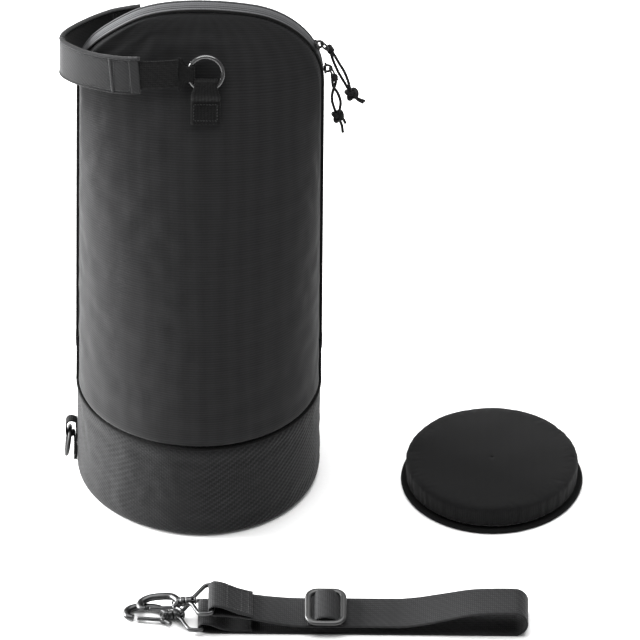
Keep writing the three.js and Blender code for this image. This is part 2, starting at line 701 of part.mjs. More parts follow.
// ---------- padded cap ----------
function paddedCap() {
  const group = new THREE.Group();
  group.position.set(CAP.x, CAP.y, 0);
  root.add(group);
  const foot = CAP.hem + GAP;
  const inside = CAP.radius - CAP.wall;
  const profile = [
    v2(0, CAP.height - 0.4), v2(CAP.radius - 14, CAP.height - 1), v2(CAP.radius - 4, CAP.height - 3),
    v2(CAP.radius, CAP.height - 7), v2(CAP.radius + 1, foot), v2(inside, foot),
    v2(inside, CAP.height - CAP.top - 3), v2(inside - 4, CAP.height - CAP.top), v2(0, CAP.height - CAP.top),
  ].reverse();
  const cover = new THREE.LatheGeometry(profile, 40);
  cover.rotateX(Math.PI / 2);
  place("cap_cover", cover, FABRIC, group);
  const hem = [
    v2(inside, 0), v2(CAP.flange, 0), v2(CAP.flange, 2), v2(CAP.radius + 1, CAP.hem),
    v2(inside, CAP.hem),
  ];
  hem.push(hem[0]);
  const binding = new THREE.LatheGeometry(hem, 40);
  binding.rotateX(Math.PI / 2);
  place("cap_binding", binding, TRIM, group);
}

baseCup();
walls();
gusset();
pipings();
carryHandle();
lowerTab();
zipPulls();
paddedCap();
shoulderStrap();

export default root;
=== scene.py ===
"""Padded telescope carry case with its shoulder strap and cap: the looks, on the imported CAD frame."""
import bpy
from math import asin, atan2, ceil, cos, dist, exp, hypot, pi, radians, sin, sqrt
from mathutils import Matrix, Vector, noise


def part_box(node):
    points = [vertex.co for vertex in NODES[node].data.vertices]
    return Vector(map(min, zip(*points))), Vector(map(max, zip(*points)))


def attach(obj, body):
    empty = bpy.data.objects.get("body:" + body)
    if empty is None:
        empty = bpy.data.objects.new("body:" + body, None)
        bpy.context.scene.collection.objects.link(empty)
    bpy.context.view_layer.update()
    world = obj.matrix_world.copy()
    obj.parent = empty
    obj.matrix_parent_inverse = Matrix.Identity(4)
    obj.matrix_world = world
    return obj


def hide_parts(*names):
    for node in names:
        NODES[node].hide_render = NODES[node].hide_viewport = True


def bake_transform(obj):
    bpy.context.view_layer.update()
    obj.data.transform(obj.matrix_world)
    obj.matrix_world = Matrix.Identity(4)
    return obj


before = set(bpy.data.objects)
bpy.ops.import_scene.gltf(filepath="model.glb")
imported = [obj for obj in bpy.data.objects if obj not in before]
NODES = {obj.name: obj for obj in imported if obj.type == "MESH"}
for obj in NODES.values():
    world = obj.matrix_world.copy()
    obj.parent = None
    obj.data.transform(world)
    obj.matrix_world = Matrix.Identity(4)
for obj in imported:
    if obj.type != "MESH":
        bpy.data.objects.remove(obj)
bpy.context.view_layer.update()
X_WAY, Y_WAY, Z_WAY = Vector((1, 0, 0)), Vector((0, 1, 0)), Vector((0, 0, 1))


def V(*xyz):
    """A point given in millimetres."""
    return Vector(xyz) / 1000


def angles(count, turns=1.0):
    """Evenly spaced angles from 0, the last one short of the end."""
    return [2 * pi * turns * k / count for k in range(count)]


def eased(t):
    """t held between 0 and 1, with soft ends."""
    t = min(1, max(0, t))
    return t * t * (3 - 2 * t)


# ---- camera
def make_camera():
    data = bpy.data.cameras.new("camera")
    cam = bpy.data.objects.new("camera", data)
    bpy.context.scene.collection.objects.link(cam)
    tilt = radians(36.6)
    back = Vector((0, -cos(tilt), sin(tilt)))
    target = V(109.6, 0, 164.6)
    cam.location = target + 24 * back
    turn = back.to_track_quat("Z", "Y").to_matrix() @ Matrix.Rotation(radians(0.5), 3, "Z")
    cam.rotation_euler = turn.to_euler()
    data.lens = 1489
    data.sensor_width = 36
    data.clip_end = 100
    bpy.context.scene.camera = cam


make_camera()


# ---- materials
WAVE_AT_ONE = 0.314159


class Paint:
    """A node material under construction: short calls that return sockets."""

    def __init__(self, name, **sockets):
        self.m = bpy.data.materials.new(name)
        self.m.use_nodes = True
        self.tree = self.m.node_tree
        self.bsdf = self.tree.nodes["Principled BSDF"]
        self.feed(self.bsdf, {key.replace("_", " "): value for key, value in sockets.items()})

    def feed(self, node, sockets):
        """Sets a node's inputs, each to a value or to another node's output."""
        for key, value in sockets.items():
            if isinstance(value, bpy.types.NodeSocket):
                self.tree.links.new(value, node.inputs[key])
            else:
                node.inputs[key].default_value = value

    def node(self, kind, output, sockets=None, **settings):
        """Adds a node and returns the output asked for."""
        n = self.tree.nodes.new(kind)
        for key, value in settings.items():
            setattr(n, key, value)
        self.feed(n, sockets or {})
        return n.outputs[output]

    def uv(self):
        return self.node("ShaderNodeTexCoord", "UV")

    def place(self):
        return self.node("ShaderNodeTexCoord", "Object")

    def scaled(self, vector, x, y):
        return self.node("ShaderNodeMapping", "Vector", {"Vector": vector, "Scale": (x, y, 1)})

    def noise(self, vector, scale, detail, rough=0.55):
        return self.node("ShaderNodeTexNoise", "Fac",
                         {"Vector": vector, "Scale": scale, "Detail": detail, "Roughness": rough})

    def wave(self, vector, pitch, direction, distortion, detail_scale):
        """Sine bands this many metres apart; a scale of 1 puts them WAVE_AT_ONE apart."""
        return self.node("ShaderNodeTexWave", "Fac",
                         {"Vector": vector, "Scale": WAVE_AT_ONE / pitch, "Distortion": distortion,
                          "Detail Scale": detail_scale}, wave_type="BANDS", bands_direction=direction)

    def math(self, operation, a, b):
        return self.node("ShaderNodeMath", 0, {0: a, 1: b}, operation=operation)

    def add(self, a, b):
        return self.math("ADD", a, b)

    def times(self, a, b):
        return self.math("MULTIPLY", a, b)

    def mix(self, fac, a, b):
        """Colours a and b by fac."""
        return self.node("ShaderNodeMix", 2, {0: fac, 6: a, 7: b}, data_type="RGBA")

    def spread(self, fac, low, high):
        return self.node("ShaderNodeMapRange", "Result", {"Value": fac, "To Min": low, "To Max": high})

    def finish(self, colour, height, distance, strength, rough=None):
        bump = self.node("ShaderNodeBump", "Normal",
                         {"Height": height, "Distance": distance, "Strength": strength})
        self.feed(self.bsdf, {"Base Color": colour, "Normal": bump})
        if rough is not None:
            self.feed(self.bsdf, {"Roughness": rough})
        return self.m


def grey(level, cool=1.05):
    return (level, level * 1.01, level * cool, 1)


def cloth(name, dark, light, warp, weft, sheen=0.3, streak=0.5, slant=False, rough=0.85, strength=0.6,
          ridge=0.0, grain=0.0):
    """Woven cloth on UVs in metres: warp and weft pitches, streaks along the weft and soft blotches.

    ridge is the pitch of the soft slanting ridges of a ribbed cloth, if it has any, and grain the
    strength of the slow upright ripples that its two threads make together."""
    p = Paint(name, Specular_IOR_Level=0.12, Sheen_Weight=sheen, Sheen_Roughness=0.45)
    uv = p.uv()
    across = p.wave(uv, warp, "DIAGONAL" if slant else "X", 0.6, 2.0)
    up = p.wave(uv, weft, "Y", 0.8, 1.5)
    weave = p.times(p.add(across, 0.35), p.add(up, 0.35))
    lines = p.noise(p.scaled(uv, 9, 420), 1.0, 4.0, 0.7)
    blotch = p.noise(p.place(), 16.0, 3.0, 0.5)
    fine = p.noise(p.place(), 900.0, 2.0, 0.7)
    tone = p.add(p.times(lines, streak), p.times(blotch, 1.0 - streak))
    tone = p.add(p.times(tone, 0.6), p.times(weave, 0.28))
    if grain:
        ripples = p.wave(p.scaled(uv, 1, 0.3), 0.017, "X", 4.0, 1.0)
        tone = p.add(tone, p.times(p.math("SUBTRACT", ripples, 0.5), grain))
    colour = p.mix(p.spread(tone, -0.15, 1.1), grey(dark), grey(light))
    height = p.add(weave, p.times(fine, 0.5))
    if ridge:
        ridges = p.wave(p.scaled(uv, -1, 1), ridge, "DIAGONAL", 1.2, 0.5)
        patches = p.noise(p.place(), 22.0, 2.0, 0.5)
        ridges = p.times(ridges, p.spread(patches, -1.5, 5.0))
        height = p.add(height, ridges)
    return p.finish(colour, height, 0.00035, strength, p.spread(blotch, rough - 0.12, rough + 0.1))


def webbing(name, dark, light, pitch=0.0016, sheen=0.2, strength=0.8):
    """Woven strapping: u across, v along; small chevrons, denser selvedges, a little fuzz."""
    p = Paint(name, Specular_IOR_Level=0.13, Sheen_Weight=sheen, Sheen_Roughness=0.4)
    uv = p.uv()
    ribs = p.wave(uv, pitch, "Y", 0.5, 3.0)
    ends = p.wave(uv, pitch * 1.5, "X", 0.4, 2.0)
    slant = p.wave(uv, pitch * 2.2, "DIAGONAL", 0.4, 2.0)
    weave = p.add(p.times(ribs, ends), p.times(slant, 0.5))
    fuzz = p.noise(p.place(), 700.0, 3.0, 0.7)
    blotch = p.noise(p.place(), 30.0, 3.0, 0.6)
    tone = p.add(p.times(weave, 0.5), p.times(blotch, 0.4))
    colour = p.mix(p.spread(tone, 0.0, 1.05), grey(dark), grey(light))
    height = p.add(weave, p.times(fuzz, 0.4))
    return p.finish(colour, height, 0.0004, strength, p.spread(fuzz, 0.62, 0.9))


def braid(name, level, specular=0.12, sheen=0.04):
    """Round braided cord: two slanting sets of strands, u round it and v along it."""
    p = Paint(name, Specular_IOR_Level=specular, Sheen_Weight=sheen, Sheen_Roughness=0.4)
    uv = p.uv()
    left, right = [p.wave(p.scaled(uv, way, 1), 0.0013, "DIAGONAL", 0.2, 2.0) for way in (1, -1)]
    strands = p.math("MAXIMUM", left, right)
    fuzz = p.noise(p.place(), 900.0, 3.0, 0.7)
    colour = p.mix(strands, grey(level * 0.5), grey(level * 1.5))
    return p.finish(colour, p.add(strands, p.times(fuzz, 0.3)), 0.0003, 0.8,
                    p.spread(fuzz, 0.5, 0.8))


def hard(name, level, metallic, rough, coat=0.0, wear=0.05, specular=0.5):
    """Coated metal or moulded plastic: faint mottling, rubbed lighter where noise and edges say."""
    p = Paint(name, Metallic=metallic, Coat_Weight=coat, Coat_Roughness=0.15, Specular_IOR_Level=specular)
    place = p.place()
    grain = p.noise(place, 1400.0, 2.0, 0.6)
    patch = p.noise(place, 120.0, 4.0, 0.65)
    edge = p.node("ShaderNodeNewGeometry", "Pointiness")
    rubbed = p.times(p.spread(edge, -6.0, 7.0), p.spread(patch, -0.6, 1.4))
    rubbed = p.node("ShaderNodeClamp", "Result", {"Value": rubbed})
    colour = p.mix(rubbed, grey(level, 1.03), grey(level + wear, 1.02))
    return p.finish(colour, grain, 0.00005, 0.25, p.spread(patch, rough - 0.07, rough + 0.1))


PANEL = cloth("panel_fabric", 0.0045, 0.019, 0.0011, 0.0024, sheen=0.07, strength=0.25, grain=0.1)
BAND = cloth("band_fabric", 0.0045, 0.020, 0.0019, 0.0012, sheen=0.08, streak=0.25, slant=True, strength=0.5,
             ridge=0.003, grain=0.08)
GUSSET = cloth("gusset_fabric", 0.05, 0.08, 0.0011, 0.0016, sheen=0.02, streak=0.3, strength=0.25)
CAP = cloth("cap_fabric", 0.0028, 0.0075, 0.0010, 0.0010, sheen=0.045, streak=0.2)
LINING = cloth("lining_fabric", 0.02, 0.035, 0.0022, 0.0022, sheen=0.3, streak=0.1)
PIPE = cloth("bound_piping", 0.001, 0.003, 0.0008, 0.0012, sheen=0.02, rough=0.75)
WEB = webbing("black_webbing", 0.0015, 0.005, sheen=0.05)
SLEEVE = webbing("sleeve_webbing", 0.010, 0.022, 0.0009, sheen=0.13, strength=0.5)
STRAP = webbing("strap_webbing_cloth", 0.009, 0.022, 0.0018, sheen=0.08)
CORD = braid("braided_cord", 0.004)
THREAD = braid("sewing_thread", 0.016, 0.3, 0.2)
BLACK_METAL = hard("black_metal", 0.012, 0.0, 0.22, coat=1.0, wear=0.03)
WIRE = hard("black_wire", 0.005, 0.0, 0.42, wear=0.012, specular=0.25)
GUNMETAL = hard("gunmetal", 0.035, 1.0, 0.36, coat=0.1, wear=0.05)
PLASTIC = hard("black_plastic", 0.006, 0.0, 0.4, coat=0.1, wear=0.012)
BOARD = hard("stiffener_sheet", 0.03, 0.0, 0.6, wear=0.02)


# ---- mesh building
def build(name, points, faces, corners, material, body, slot, replaces=()):
    """A mesh piece with UVs in metres; corners holds the (u, v) of every face corner in order."""
    mesh = bpy.data.meshes.new(name)
    mesh.from_pydata(points, [], faces)
    layer = mesh.uv_layers.new(name="UVMap")
    layer.data.foreach_set("uv", [c for uv in corners for c in uv])
    mesh.materials.append(material)
    mesh.polygons.foreach_set("use_smooth", [True] * len(mesh.polygons))
    mesh.update()
    piece = bpy.data.objects.new(name, mesh)
    bpy.context.scene.collection.objects.link(piece)
    if body:
        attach(piece, body)
    if replaces:
        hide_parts(*replaces)
    return piece


def grid(rows, wrap_row=False, wrap_col=False, cap=False):
    """Points, faces and corner UVs for rows of points; v runs along the rows' order, u along each row."""
    count = len(rows[0])
    points = [p for row in rows for p in row]
    down = [0.0]
    for a, b in zip(rows, rows[1:] + rows[:1]):
        down.append(down[-1] + sum((p - q).length for p, q in zip(a, b)) / count)
    middle = rows[len(rows) // 2]
    along = [0.0]
    for p, q in zip(middle, middle[1:] + middle[:1]):
        along.append(along[-1] + (p - q).length)
    faces = []
    corners = []
    for r in range(len(rows) if wrap_row else len(rows) - 1):
        for c in range(count if wrap_col else count - 1):
            r2, c2 = (r + 1) % len(rows), (c + 1) % count
            faces.append((r * count + c, r * count + c2, r2 * count + c2, r2 * count + c))
            corners += [(along[c], down[r]), (along[c + 1], down[r]),
                        (along[c + 1], down[r + 1]), (along[c], down[r + 1])]
    if cap:
        for base, order in ((0, 1), ((len(rows) - 1) * count, -1)):
            ring = [base + k for k in range(count)][::-order]
            faces.append(tuple(ring))
            corners += [(points[k].x, points[k].y) for k in ring]
    return points, faces, corners


def solid(name, made, material, body, slot, replaces=()):
    """Builds a closed piece and turns its faces outward."""
    piece = build(name, *made, material, body, slot, replaces)
    mesh = piece.data
    volume = 0.0
    for f in mesh.polygons:
        vs = [mesh.vertices[i].co for i in f.vertices]
        for k in range(1, len(vs) - 1):
            volume += vs[0].dot(vs[k].cross(vs[k + 1]))
    if volume < 0:
        mesh.flip_normals()
    return piece


def smooth_path(knots, count, closed=False):
    """Catmull-Rom through the knots, evenly spaced by length."""
    n = len(knots)
    fine = []
    last = n if closed else n - 1
    for i in range(last):
        def at(k):
            return knots[k % n] if closed else knots[max(0, min(n - 1, k))]
        p0, p1, p2, p3 = at(i - 1), at(i), at(i + 1), at(i + 2)
        for s in range(24):
            t = s / 24
            fine.append(0.5 * ((2 * p1) + (p2 - p0) * t + (2 * p0 - 5 * p1 + 4 * p2 - p3) * t * t
                               + (3 * p1 - p0 - 3 * p2 + p3) * t ** 3))
    fine.append(knots[0].copy() if closed else knots[-1].copy())
    return even(fine, count, closed)


def even(line, count, closed=False):
    """The line resampled to count points an equal length apart."""
    total = [0.0]
    for a, b in zip(line, line[1:]):
        total.append(total[-1] + (b - a).length)
    out = []
    steps = count if closed else count - 1
    j = 0
    for k in range(count):
        want = total[-1] * k / steps
        while j < len(line) - 2 and total[j + 1] < want:
            j += 1
        span = total[j + 1] - total[j]
        out.append(line[j].lerp(line[j + 1], (want - total[j]) / span if span else 0))
    return out


def length_of(line):
    return sum((b - a).length for a, b in zip(line, line[1:]))


def frames(line, side=None, closed=False):
    """(side, normal) at each point: side fixed, or carried along without twist."""
    n = len(line)
    out = []
    carried = None
    for i in range(n):
        if closed:
            tangent = (line[(i + 1) % n] - line[i - 1]).normalized()
        else:
            tangent = (line[min(i + 1, n - 1)] - line[max(i - 1, 0)]).normalized()
        if side is not None:
            s = side[i] if isinstance(side, list) else side
            s = (s - tangent * s.dot(tangent)).normalized()
        else:
            if carried is None:
                carried = tangent.orthogonal().normalized()
            s = (carried - tangent * carried.dot(tangent)).normalized()
            carried = s
        out.append((s, tangent.cross(s).normalized()))
    return out


def sweep(name, line, section, material, body, slot, replaces=(), side=None, closed=False, scale=None):
    """A closed section of (side, normal) offsets swept along a line; scale(t) gives its two factors."""
    rows = []
    for i, (p, (s, n)) in enumerate(zip(line, frames(line, side, closed))):
        fx, fy = scale(i / (len(line) - 1)) if scale else (1, 1)
        rows.append([p + s * (a * fx) + n * (b * fy) for a, b in section])
    made = grid(rows, wrap_row=closed, wrap_col=True, cap=not closed)
    return solid(name, made, material, body, slot, replaces)


def circle(radius, sides=14):
    return [(radius * cos(a), radius * sin(a)) for a in angles(sides)]


def tape(width, thick, rows=9, selvedge=0.0):
    """The section of a flat strap: rounded edges, and a slightly thicker selvedge if asked."""
    half, t = width / 2, thick / 2
    top = []
    for k in range(rows + 1):
        a = -half + t + (width - thick) * k / rows
        edge = selvedge if k in (0, rows) else 0.0
        top.append((a, t + edge))
    right = [(half - t + t * sin(pi * k / 4), t * cos(pi * k / 4)) for k in (1, 2, 3)]
    left = [(-x, -y) for x, y in right]
    bottom = [(a, -b) for a, b in reversed(top)]
    return top + right + bottom + left


def slab(width, thick, corner, steps=4):
    """A rounded rectangle."""
    out = []
    for sx, sy, start in ((1, 1, 0), (-1, 1, pi / 2), (-1, -1, pi), (1, -1, 1.5 * pi)):
        for k in range(steps + 1):
            a = start + pi / 2 * k / steps
            out.append((sx * (width / 2 - corner) + corner * cos(a),
                        sy * (thick / 2 - corner) + corner * sin(a)))
    return out


def lathe(name, profile, steps, material, body, slot, replaces=(), centre=Vector(), ripple=None):
    """A closed profile of (radius, z) turned about a vertical axis; ripple(angle, radius, z) moves points."""
    rows = []
    for angle in angles(steps):
        row = []
        for r, z in profile:
            dr, dz = ripple(angle, r, z) if ripple else (0, 0)
            row.append(centre + Vector(((r + dr) * cos(angle), (r + dr) * sin(angle), z + dz)))
        rows.append(row)
    return solid(name, grid(rows, wrap_row=True, wrap_col=True), material, body, slot, replaces)


def flat_weave(piece, low, high):
    """Lays the weave straight across a turned piece's flat faces between two heights."""
    mesh = piece.data
    layer = mesh.uv_layers.active.data
    for f in mesh.polygons:
        if low < f.center.z < high and abs(f.normal.z) > 0.7:
            for i in f.loop_indices:
                place = mesh.vertices[mesh.loops[i].vertex_index].co
                layer[i].uv = (place.x, place.y)


def split_long(profile, longest):
    """Adds points so that no side of a closed profile is longer than this."""
    out = []
    for i, p in enumerate(profile):
        q = profile[(i + 1) % len(profile)]
        steps = max(1, ceil(dist(p, q) / longest))
        out += [(p[0] + (q[0] - p[0]) * k / steps, p[1] + (q[1] - p[1]) * k / steps) for k in range(steps)]
    return out


def stitches(name, lines, body, slot, pitch=0.0032, share=0.72, radius=0.00035, lift=0.0):
    """Rows of sewn stitches: each line is (points, normal)."""
    points, faces, corners = [], [], []
    for line, normal in lines:
        total = length_of(line)
        count = max(2, round(total / pitch))
        spots = even(line, 2 * count + 1)
        for k in range(count):
            a, c = spots[2 * k], spots[2 * k + 2]
            middle = (a + c) / 2 + normal * lift
            along = (c - a) * share / 2
            side = along.normalized().cross(normal)
            base = len(points)
            for t, f in ((-1, 0.3), (-0.6, 0.95), (0, 1.1), (0.6, 0.95), (1, 0.3)):
                for angle in angles(6):
                    off = (side * cos(angle) + normal * sin(angle)) * radius * f
                    points.append(middle + along * t - normal * (radius * 0.7 * abs(t) ** 3) + off)
            for r in range(4):
                for q in range(6):
                    i, j = base + r * 6 + q, base + r * 6 + (q + 1) % 6
                    faces.append((i, j, j + 6, i + 6))
                    u, v = q * 0.0004, r * along.length / 2
                    corners += [(u, v), (u + 0.0004, v), (u + 0.0004, v + along.length / 2),
                                (u, v + along.length / 2)]
    return build(name, points, faces, corners, THREAD, body, slot)


# ---- sizes, as in the CAD source
R, WALL, BAND_Z, TOP, SPRING, CORNER = 0.110, 0.008, 0.100, 0.518, 0.439, 0.076
CORNER_X, RISE = R - CORNER, TOP - SPRING
DROP = (CORNER_X ** 2 - (RISE - CORNER) ** 2) / (2 * (RISE - CORNER))
CROWN, CROWN_ANGLE = RISE + DROP, atan2(DROP, CORNER_X)
GUSSET_HALF, SPLIT, SEAM_GAP, PIPING_INSET = 0.0065, 0.150, 0.0003, 0.001
STRAP_Y, STRAP_HALF = -0.236, 0.019
TOP_SAG, LEFT_SAG, CORD_THICK = 0.0030, 0.0085, 0.0027


def settle_crown(piece):
    """The soft top of the body sags a little under its own cloth, most at the left shoulder."""
    for v in piece.data.vertices:
        up = min(1, max(0, (v.co.z - SPRING) / RISE))
        left = exp(-((v.co.x + 0.088) / 0.034) ** 2)
        v.co.z -= TOP_SAG * eased(up) + LEFT_SAG * up * left
    return piece


def half_width(z, offset):
    if z <= SPRING:
        return R + offset
    rise, corner = z - SPRING, CORNER + offset
    if rise < corner * sin(CROWN_ANGLE):
        return CORNER_X + sqrt(corner ** 2 - rise ** 2)
    return sqrt(max((CROWN + offset) ** 2 - (rise + DROP) ** 2, 0))


def panel_depth(z):
    up = max(0, (z - BAND_Z) / (TOP - BAND_Z))
    return (R - GUSSET_HALF) * (1 - up ** 1.6)


def arch(offset, foot, count):
    """Points (x, z) of the arch from the left foot to the right foot, evenly spaced."""
    corner, crown = CORNER + offset, CROWN + offset
    line = [Vector((-R - offset, 0, foot))]
    for k in range(25):
        a = pi - CROWN_ANGLE * k / 24
        line.append(Vector((-CORNER_X + corner * cos(a), 0, SPRING + corner * sin(a))))
    for k in range(1, 12):
        a = pi - CROWN_ANGLE + (2 * CROWN_ANGLE - pi) * k / 12
        line.append(Vector((crown * cos(a), 0, SPRING - DROP + crown * sin(a))))
    for k in range(25):
        a = CROWN_ANGLE * (1 - k / 24)
        line.append(Vector((CORNER_X + corner * cos(a), 0, SPRING + corner * sin(a))))
    line.append(Vector((R + offset, 0, foot)))
    return even(line, count)


# ---- cords
CORD_A = [(115.5, 0.8, 468.2), (116.9, 2.2, 466.4), (118.8, 2.2, 463.2), (121.2, 2.2, 458.6),
          (124.8, 2.3, 451),
          (129.7, 2.6, 441), (133.2, 3, 430), (134.8, 3.4, 421.9), (136.4, 4.4, 414.4), (143.2, 4, 409.9),
          (148.6, 3.4, 408.2)]
CORD_B = [(115.0, 3.2, 468.0), (115.6, 5.9, 465.6), (117.2, 6, 459.6), (119.8, 6.2, 450), (124.2, 6.4, 438),
          (129.3, 6.6, 427.5), (132.2, 6.8, 421.4), (136.2, 6.8, 414.4), (141.4, 7, 407.6), (146.8, 8, 403.1)]
CORD_C = [(121.6, -0.8, 440.2), (122.2, -2.2, 438), (121.6, -2.4, 431), (119.2, -2.6, 422.5),
          (118.7, -2.8, 413.5),
          (120.9, -3.4, 404.7), (123.6, -4.4, 397.5), (127.4, -5, 388.4), (128.7, -5, 379.4)]
CORD_D = [(120.4, -3.0, 440.0), (118.9, -5.4, 437), (120, -6.3, 430.5), (123.6, -6.4, 424.5),
          (126.3, -6.6, 415.5),
          (126, -6.8, 408), (125.2, -7, 404.9), (124.6, -6.4, 397.8), (128.5, -6.5, 396), (131, -7.2, 391)]


def knot(number, centre, radii, node):
    """An overhand knot: one cord wound three times through itself."""
    line = []
    for t in angles(96):
        p = Vector((sin(t) + 2 * sin(2 * t), cos(t) - 2 * cos(2 * t), -sin(3 * t) * 1.5))
        line.append(V(*centre) + Vector((p.x / 3 * radii[0], p.z / 1.5 * radii[1],
                                         p.y / 3 * radii[2])) / 1000)
    return sweep(f"knot_{number}_tied", line, circle(0.0022, 12), CORD, f"pull_{number}", "cord", [node],
                 closed=True)


def hitch(number, ends):
    """The cord's loop drawn tight round the wire ring: a small coil."""
    start, end = V(*ends[0]), V(*ends[1])
    along = (end - start).normalized()
    s = along.orthogonal().normalized()
    n = along.cross(s)
    line = []
    for k in range(61):
        a = 2 * pi * 2.5 * k / 60
        r = 0.0021 + 0.0003 * sin(3 * a)
        line.append(start.lerp(end, k / 60) + (s * cos(a) + n * sin(a)) * r)
    sweep(f"pull_{number}_hitch", line, circle(CORD_THICK / 2, 12), CORD, f"pull_{number}", "cord")


def pull_cord(name, knots, number, node):
    line = smooth_path([V(*k) for k in knots], 44)
    piece = sweep(name, line, circle(CORD_THICK / 2, 14), CORD, f"pull_{number}", "cord", [node],
                  scale=lambda t: (1, 1) if t < 0.985 else (0.93, 0.93))
    return piece


def pulls():
    knot_1 = knot(1, (136.2, 5.6, 414.4), (5.0, 3.3, 3.9), "knot_1")
    knot_2 = knot(2, (123.9, -5.2, 397.5), (4.2, 3.3, 4.0), "knot_2")
    pull_cord("pull_cord_1a", CORD_A, 1, "cord_1a")
    pull_cord("pull_cord_1b", CORD_B, 1, "cord_1b")
    pull_cord("pull_cord_2a", CORD_C, 2, "cord_2a")
    pull_cord("pull_cord_2b", CORD_D, 2, "cord_2b")
    hitch(1, ((115.0, 2.2, 469.2), (118.4, 3.4, 462.6)))
    hitch(2, ((120.6, -2.2, 441.2), (121.0, -3.8, 435.6)))


pulls()


# ---- padded shells
SIM_FRAMES = 14


def settle(piece, still, pressure, most):
    """Lets cloth simulation puff a closed piece a little; still(point) is how firmly it is sewn down."""
    rest = [v.co.copy() for v in piece.data.vertices]
    group = piece.vertex_groups.new(name="sewn")
    for i, p in enumerate(rest):
        group.add([i], min(1.0, max(0.0, still(p))), "REPLACE")
    scene = bpy.context.scene
    modifier = piece.modifiers.new("Cloth", "CLOTH")
    wanted = {"quality": 5, "mass": 0.15, "tension_stiffness": 12, "compression_stiffness": 12,
              "bending_stiffness": 0.6, "shrink_min": -0.01, "vertex_group_mass": "sewn", "pin_stiffness": 4,
              "use_pressure": True, "uniform_pressure_force": pressure}
    for key, value in wanted.items():
        setattr(modifier.settings, key, value)
    modifier.settings.effector_weights.gravity = 0
    modifier.collision_settings.use_collision = False
    modifier.point_cache.frame_start = 1
    modifier.point_cache.frame_end = SIM_FRAMES
    for f in range(1, SIM_FRAMES + 1):
        scene.frame_set(f)
    moved = piece.evaluated_get(bpy.context.evaluated_depsgraph_get()).data
    after = [v.co.copy() for v in moved.vertices]
    piece.modifiers.remove(modifier)
    piece.vertex_groups.clear()
    for v, p, q in zip(piece.data.vertices, rest, after):
        step = q - p
        reach = step.length
        v.co = p + step * (min(reach, most) / reach if reach > 1e-9 else 0)
    piece.data.update()
    scene.frame_set(1)


def pad_out(piece, still, pressure, most):
    settle(piece, still, pressure, most)
    piece.modifiers.new("Subdivision", "SUBSURF").levels = 1
    piece.modifiers["Subdivision"].render_levels = 1


def line_with(piece, inside):
    """Gives the lining's material to the faces that the test picks."""
    piece.data.materials.append(LINING)
    for f in piece.data.polygons:
        if inside(f):
            f.material_index = 1


def wall_point(side, z, a, wall, seam):
    """A point of a wall's surface: angle a from the left seam round the front to the right seam."""
    half, depth = half_width(z, -PIPING_INSET - wall), max(panel_depth(z) - wall, 0.0002)
    x, out = -half * cos(a), depth * sin(a)
    y = GUSSET_HALF + out
    if wall == 0:
        near = max(0.0, half - abs(x)) + out
        above = max(0.0, (TOP - 0.001 - z))
        d = min(near, hypot(above, out) if z > SPRING else near)
        y += 0.0026 * (d / 0.005) * exp(1 - d / 0.005)
        soft = noise.noise(Vector((x * 14, z * 9, side * 3.1)))
        y += 0.0007 * soft * min(1, d / 0.02)
    if a in (0.0, pi):
        y = seam
    return Vector((x, side * y, z))


def wall_levels(low, high, straight, curved):
    bend = min(high, SPRING)
    out = [low + (bend - low) * k / straight for k in range(straight)] + [bend]
    if high > SPRING:
        last = asin((high - SPRING) / RISE)
        out += [SPRING + RISE * sin(last * k / curved) for k in range(1, curved + 1)]
    return out


def padded_wall(name, side, nodes, body):
    """A closed padded wall: outer cloth, seam edges, and lining inside."""
    count = 56
    seam = GUSSET_HALF + SEAM_GAP / 2
    low = BAND_Z + SEAM_GAP / 2
    outer_z = wall_levels(low, TOP - 0.0012, 40, 22)
    inner_z = wall_levels(low, TOP - 0.022, 40, 22)
    rows = []
    for zo, zi in zip(outer_z, inner_z):
        outer = [wall_point(side, zo, pi * k / count, 0.0, seam) for k in range(count + 1)]
        inner = [wall_point(side, zi, pi * k / count, WALL, seam) for k in range(count, -1, -1)]
        rows.append(outer + inner)
    points, faces, corners = grid(rows, wrap_col=True)
    size = len(rows[0])
    for base, flip in ((0, False), ((len(rows) - 1) * size, True)):
        for k in range(count):
            a, b = base + k, base + k + 1
            c, d = base + size - 2 - k, base + size - 1 - k
            face = (a, d, c, b) if not flip else (a, b, c, d)
            faces.append(face)
            corners += [(points[i].x, points[i].y) for i in face]
    piece = solid(name, (points, faces, corners), PANEL, None, "panel_fabric", nodes)
    line_with(piece, lambda f: all(i % size > count for i in f.vertices))
    settle_crown(piece)
    pad_out(piece, lambda p: 1.0 if abs(p.y) < 0.014 or p.z < 0.104 or p.z > 0.50 else 0.12, 1.2, 0.0006)
    if body:
        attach(piece, body)
    return piece


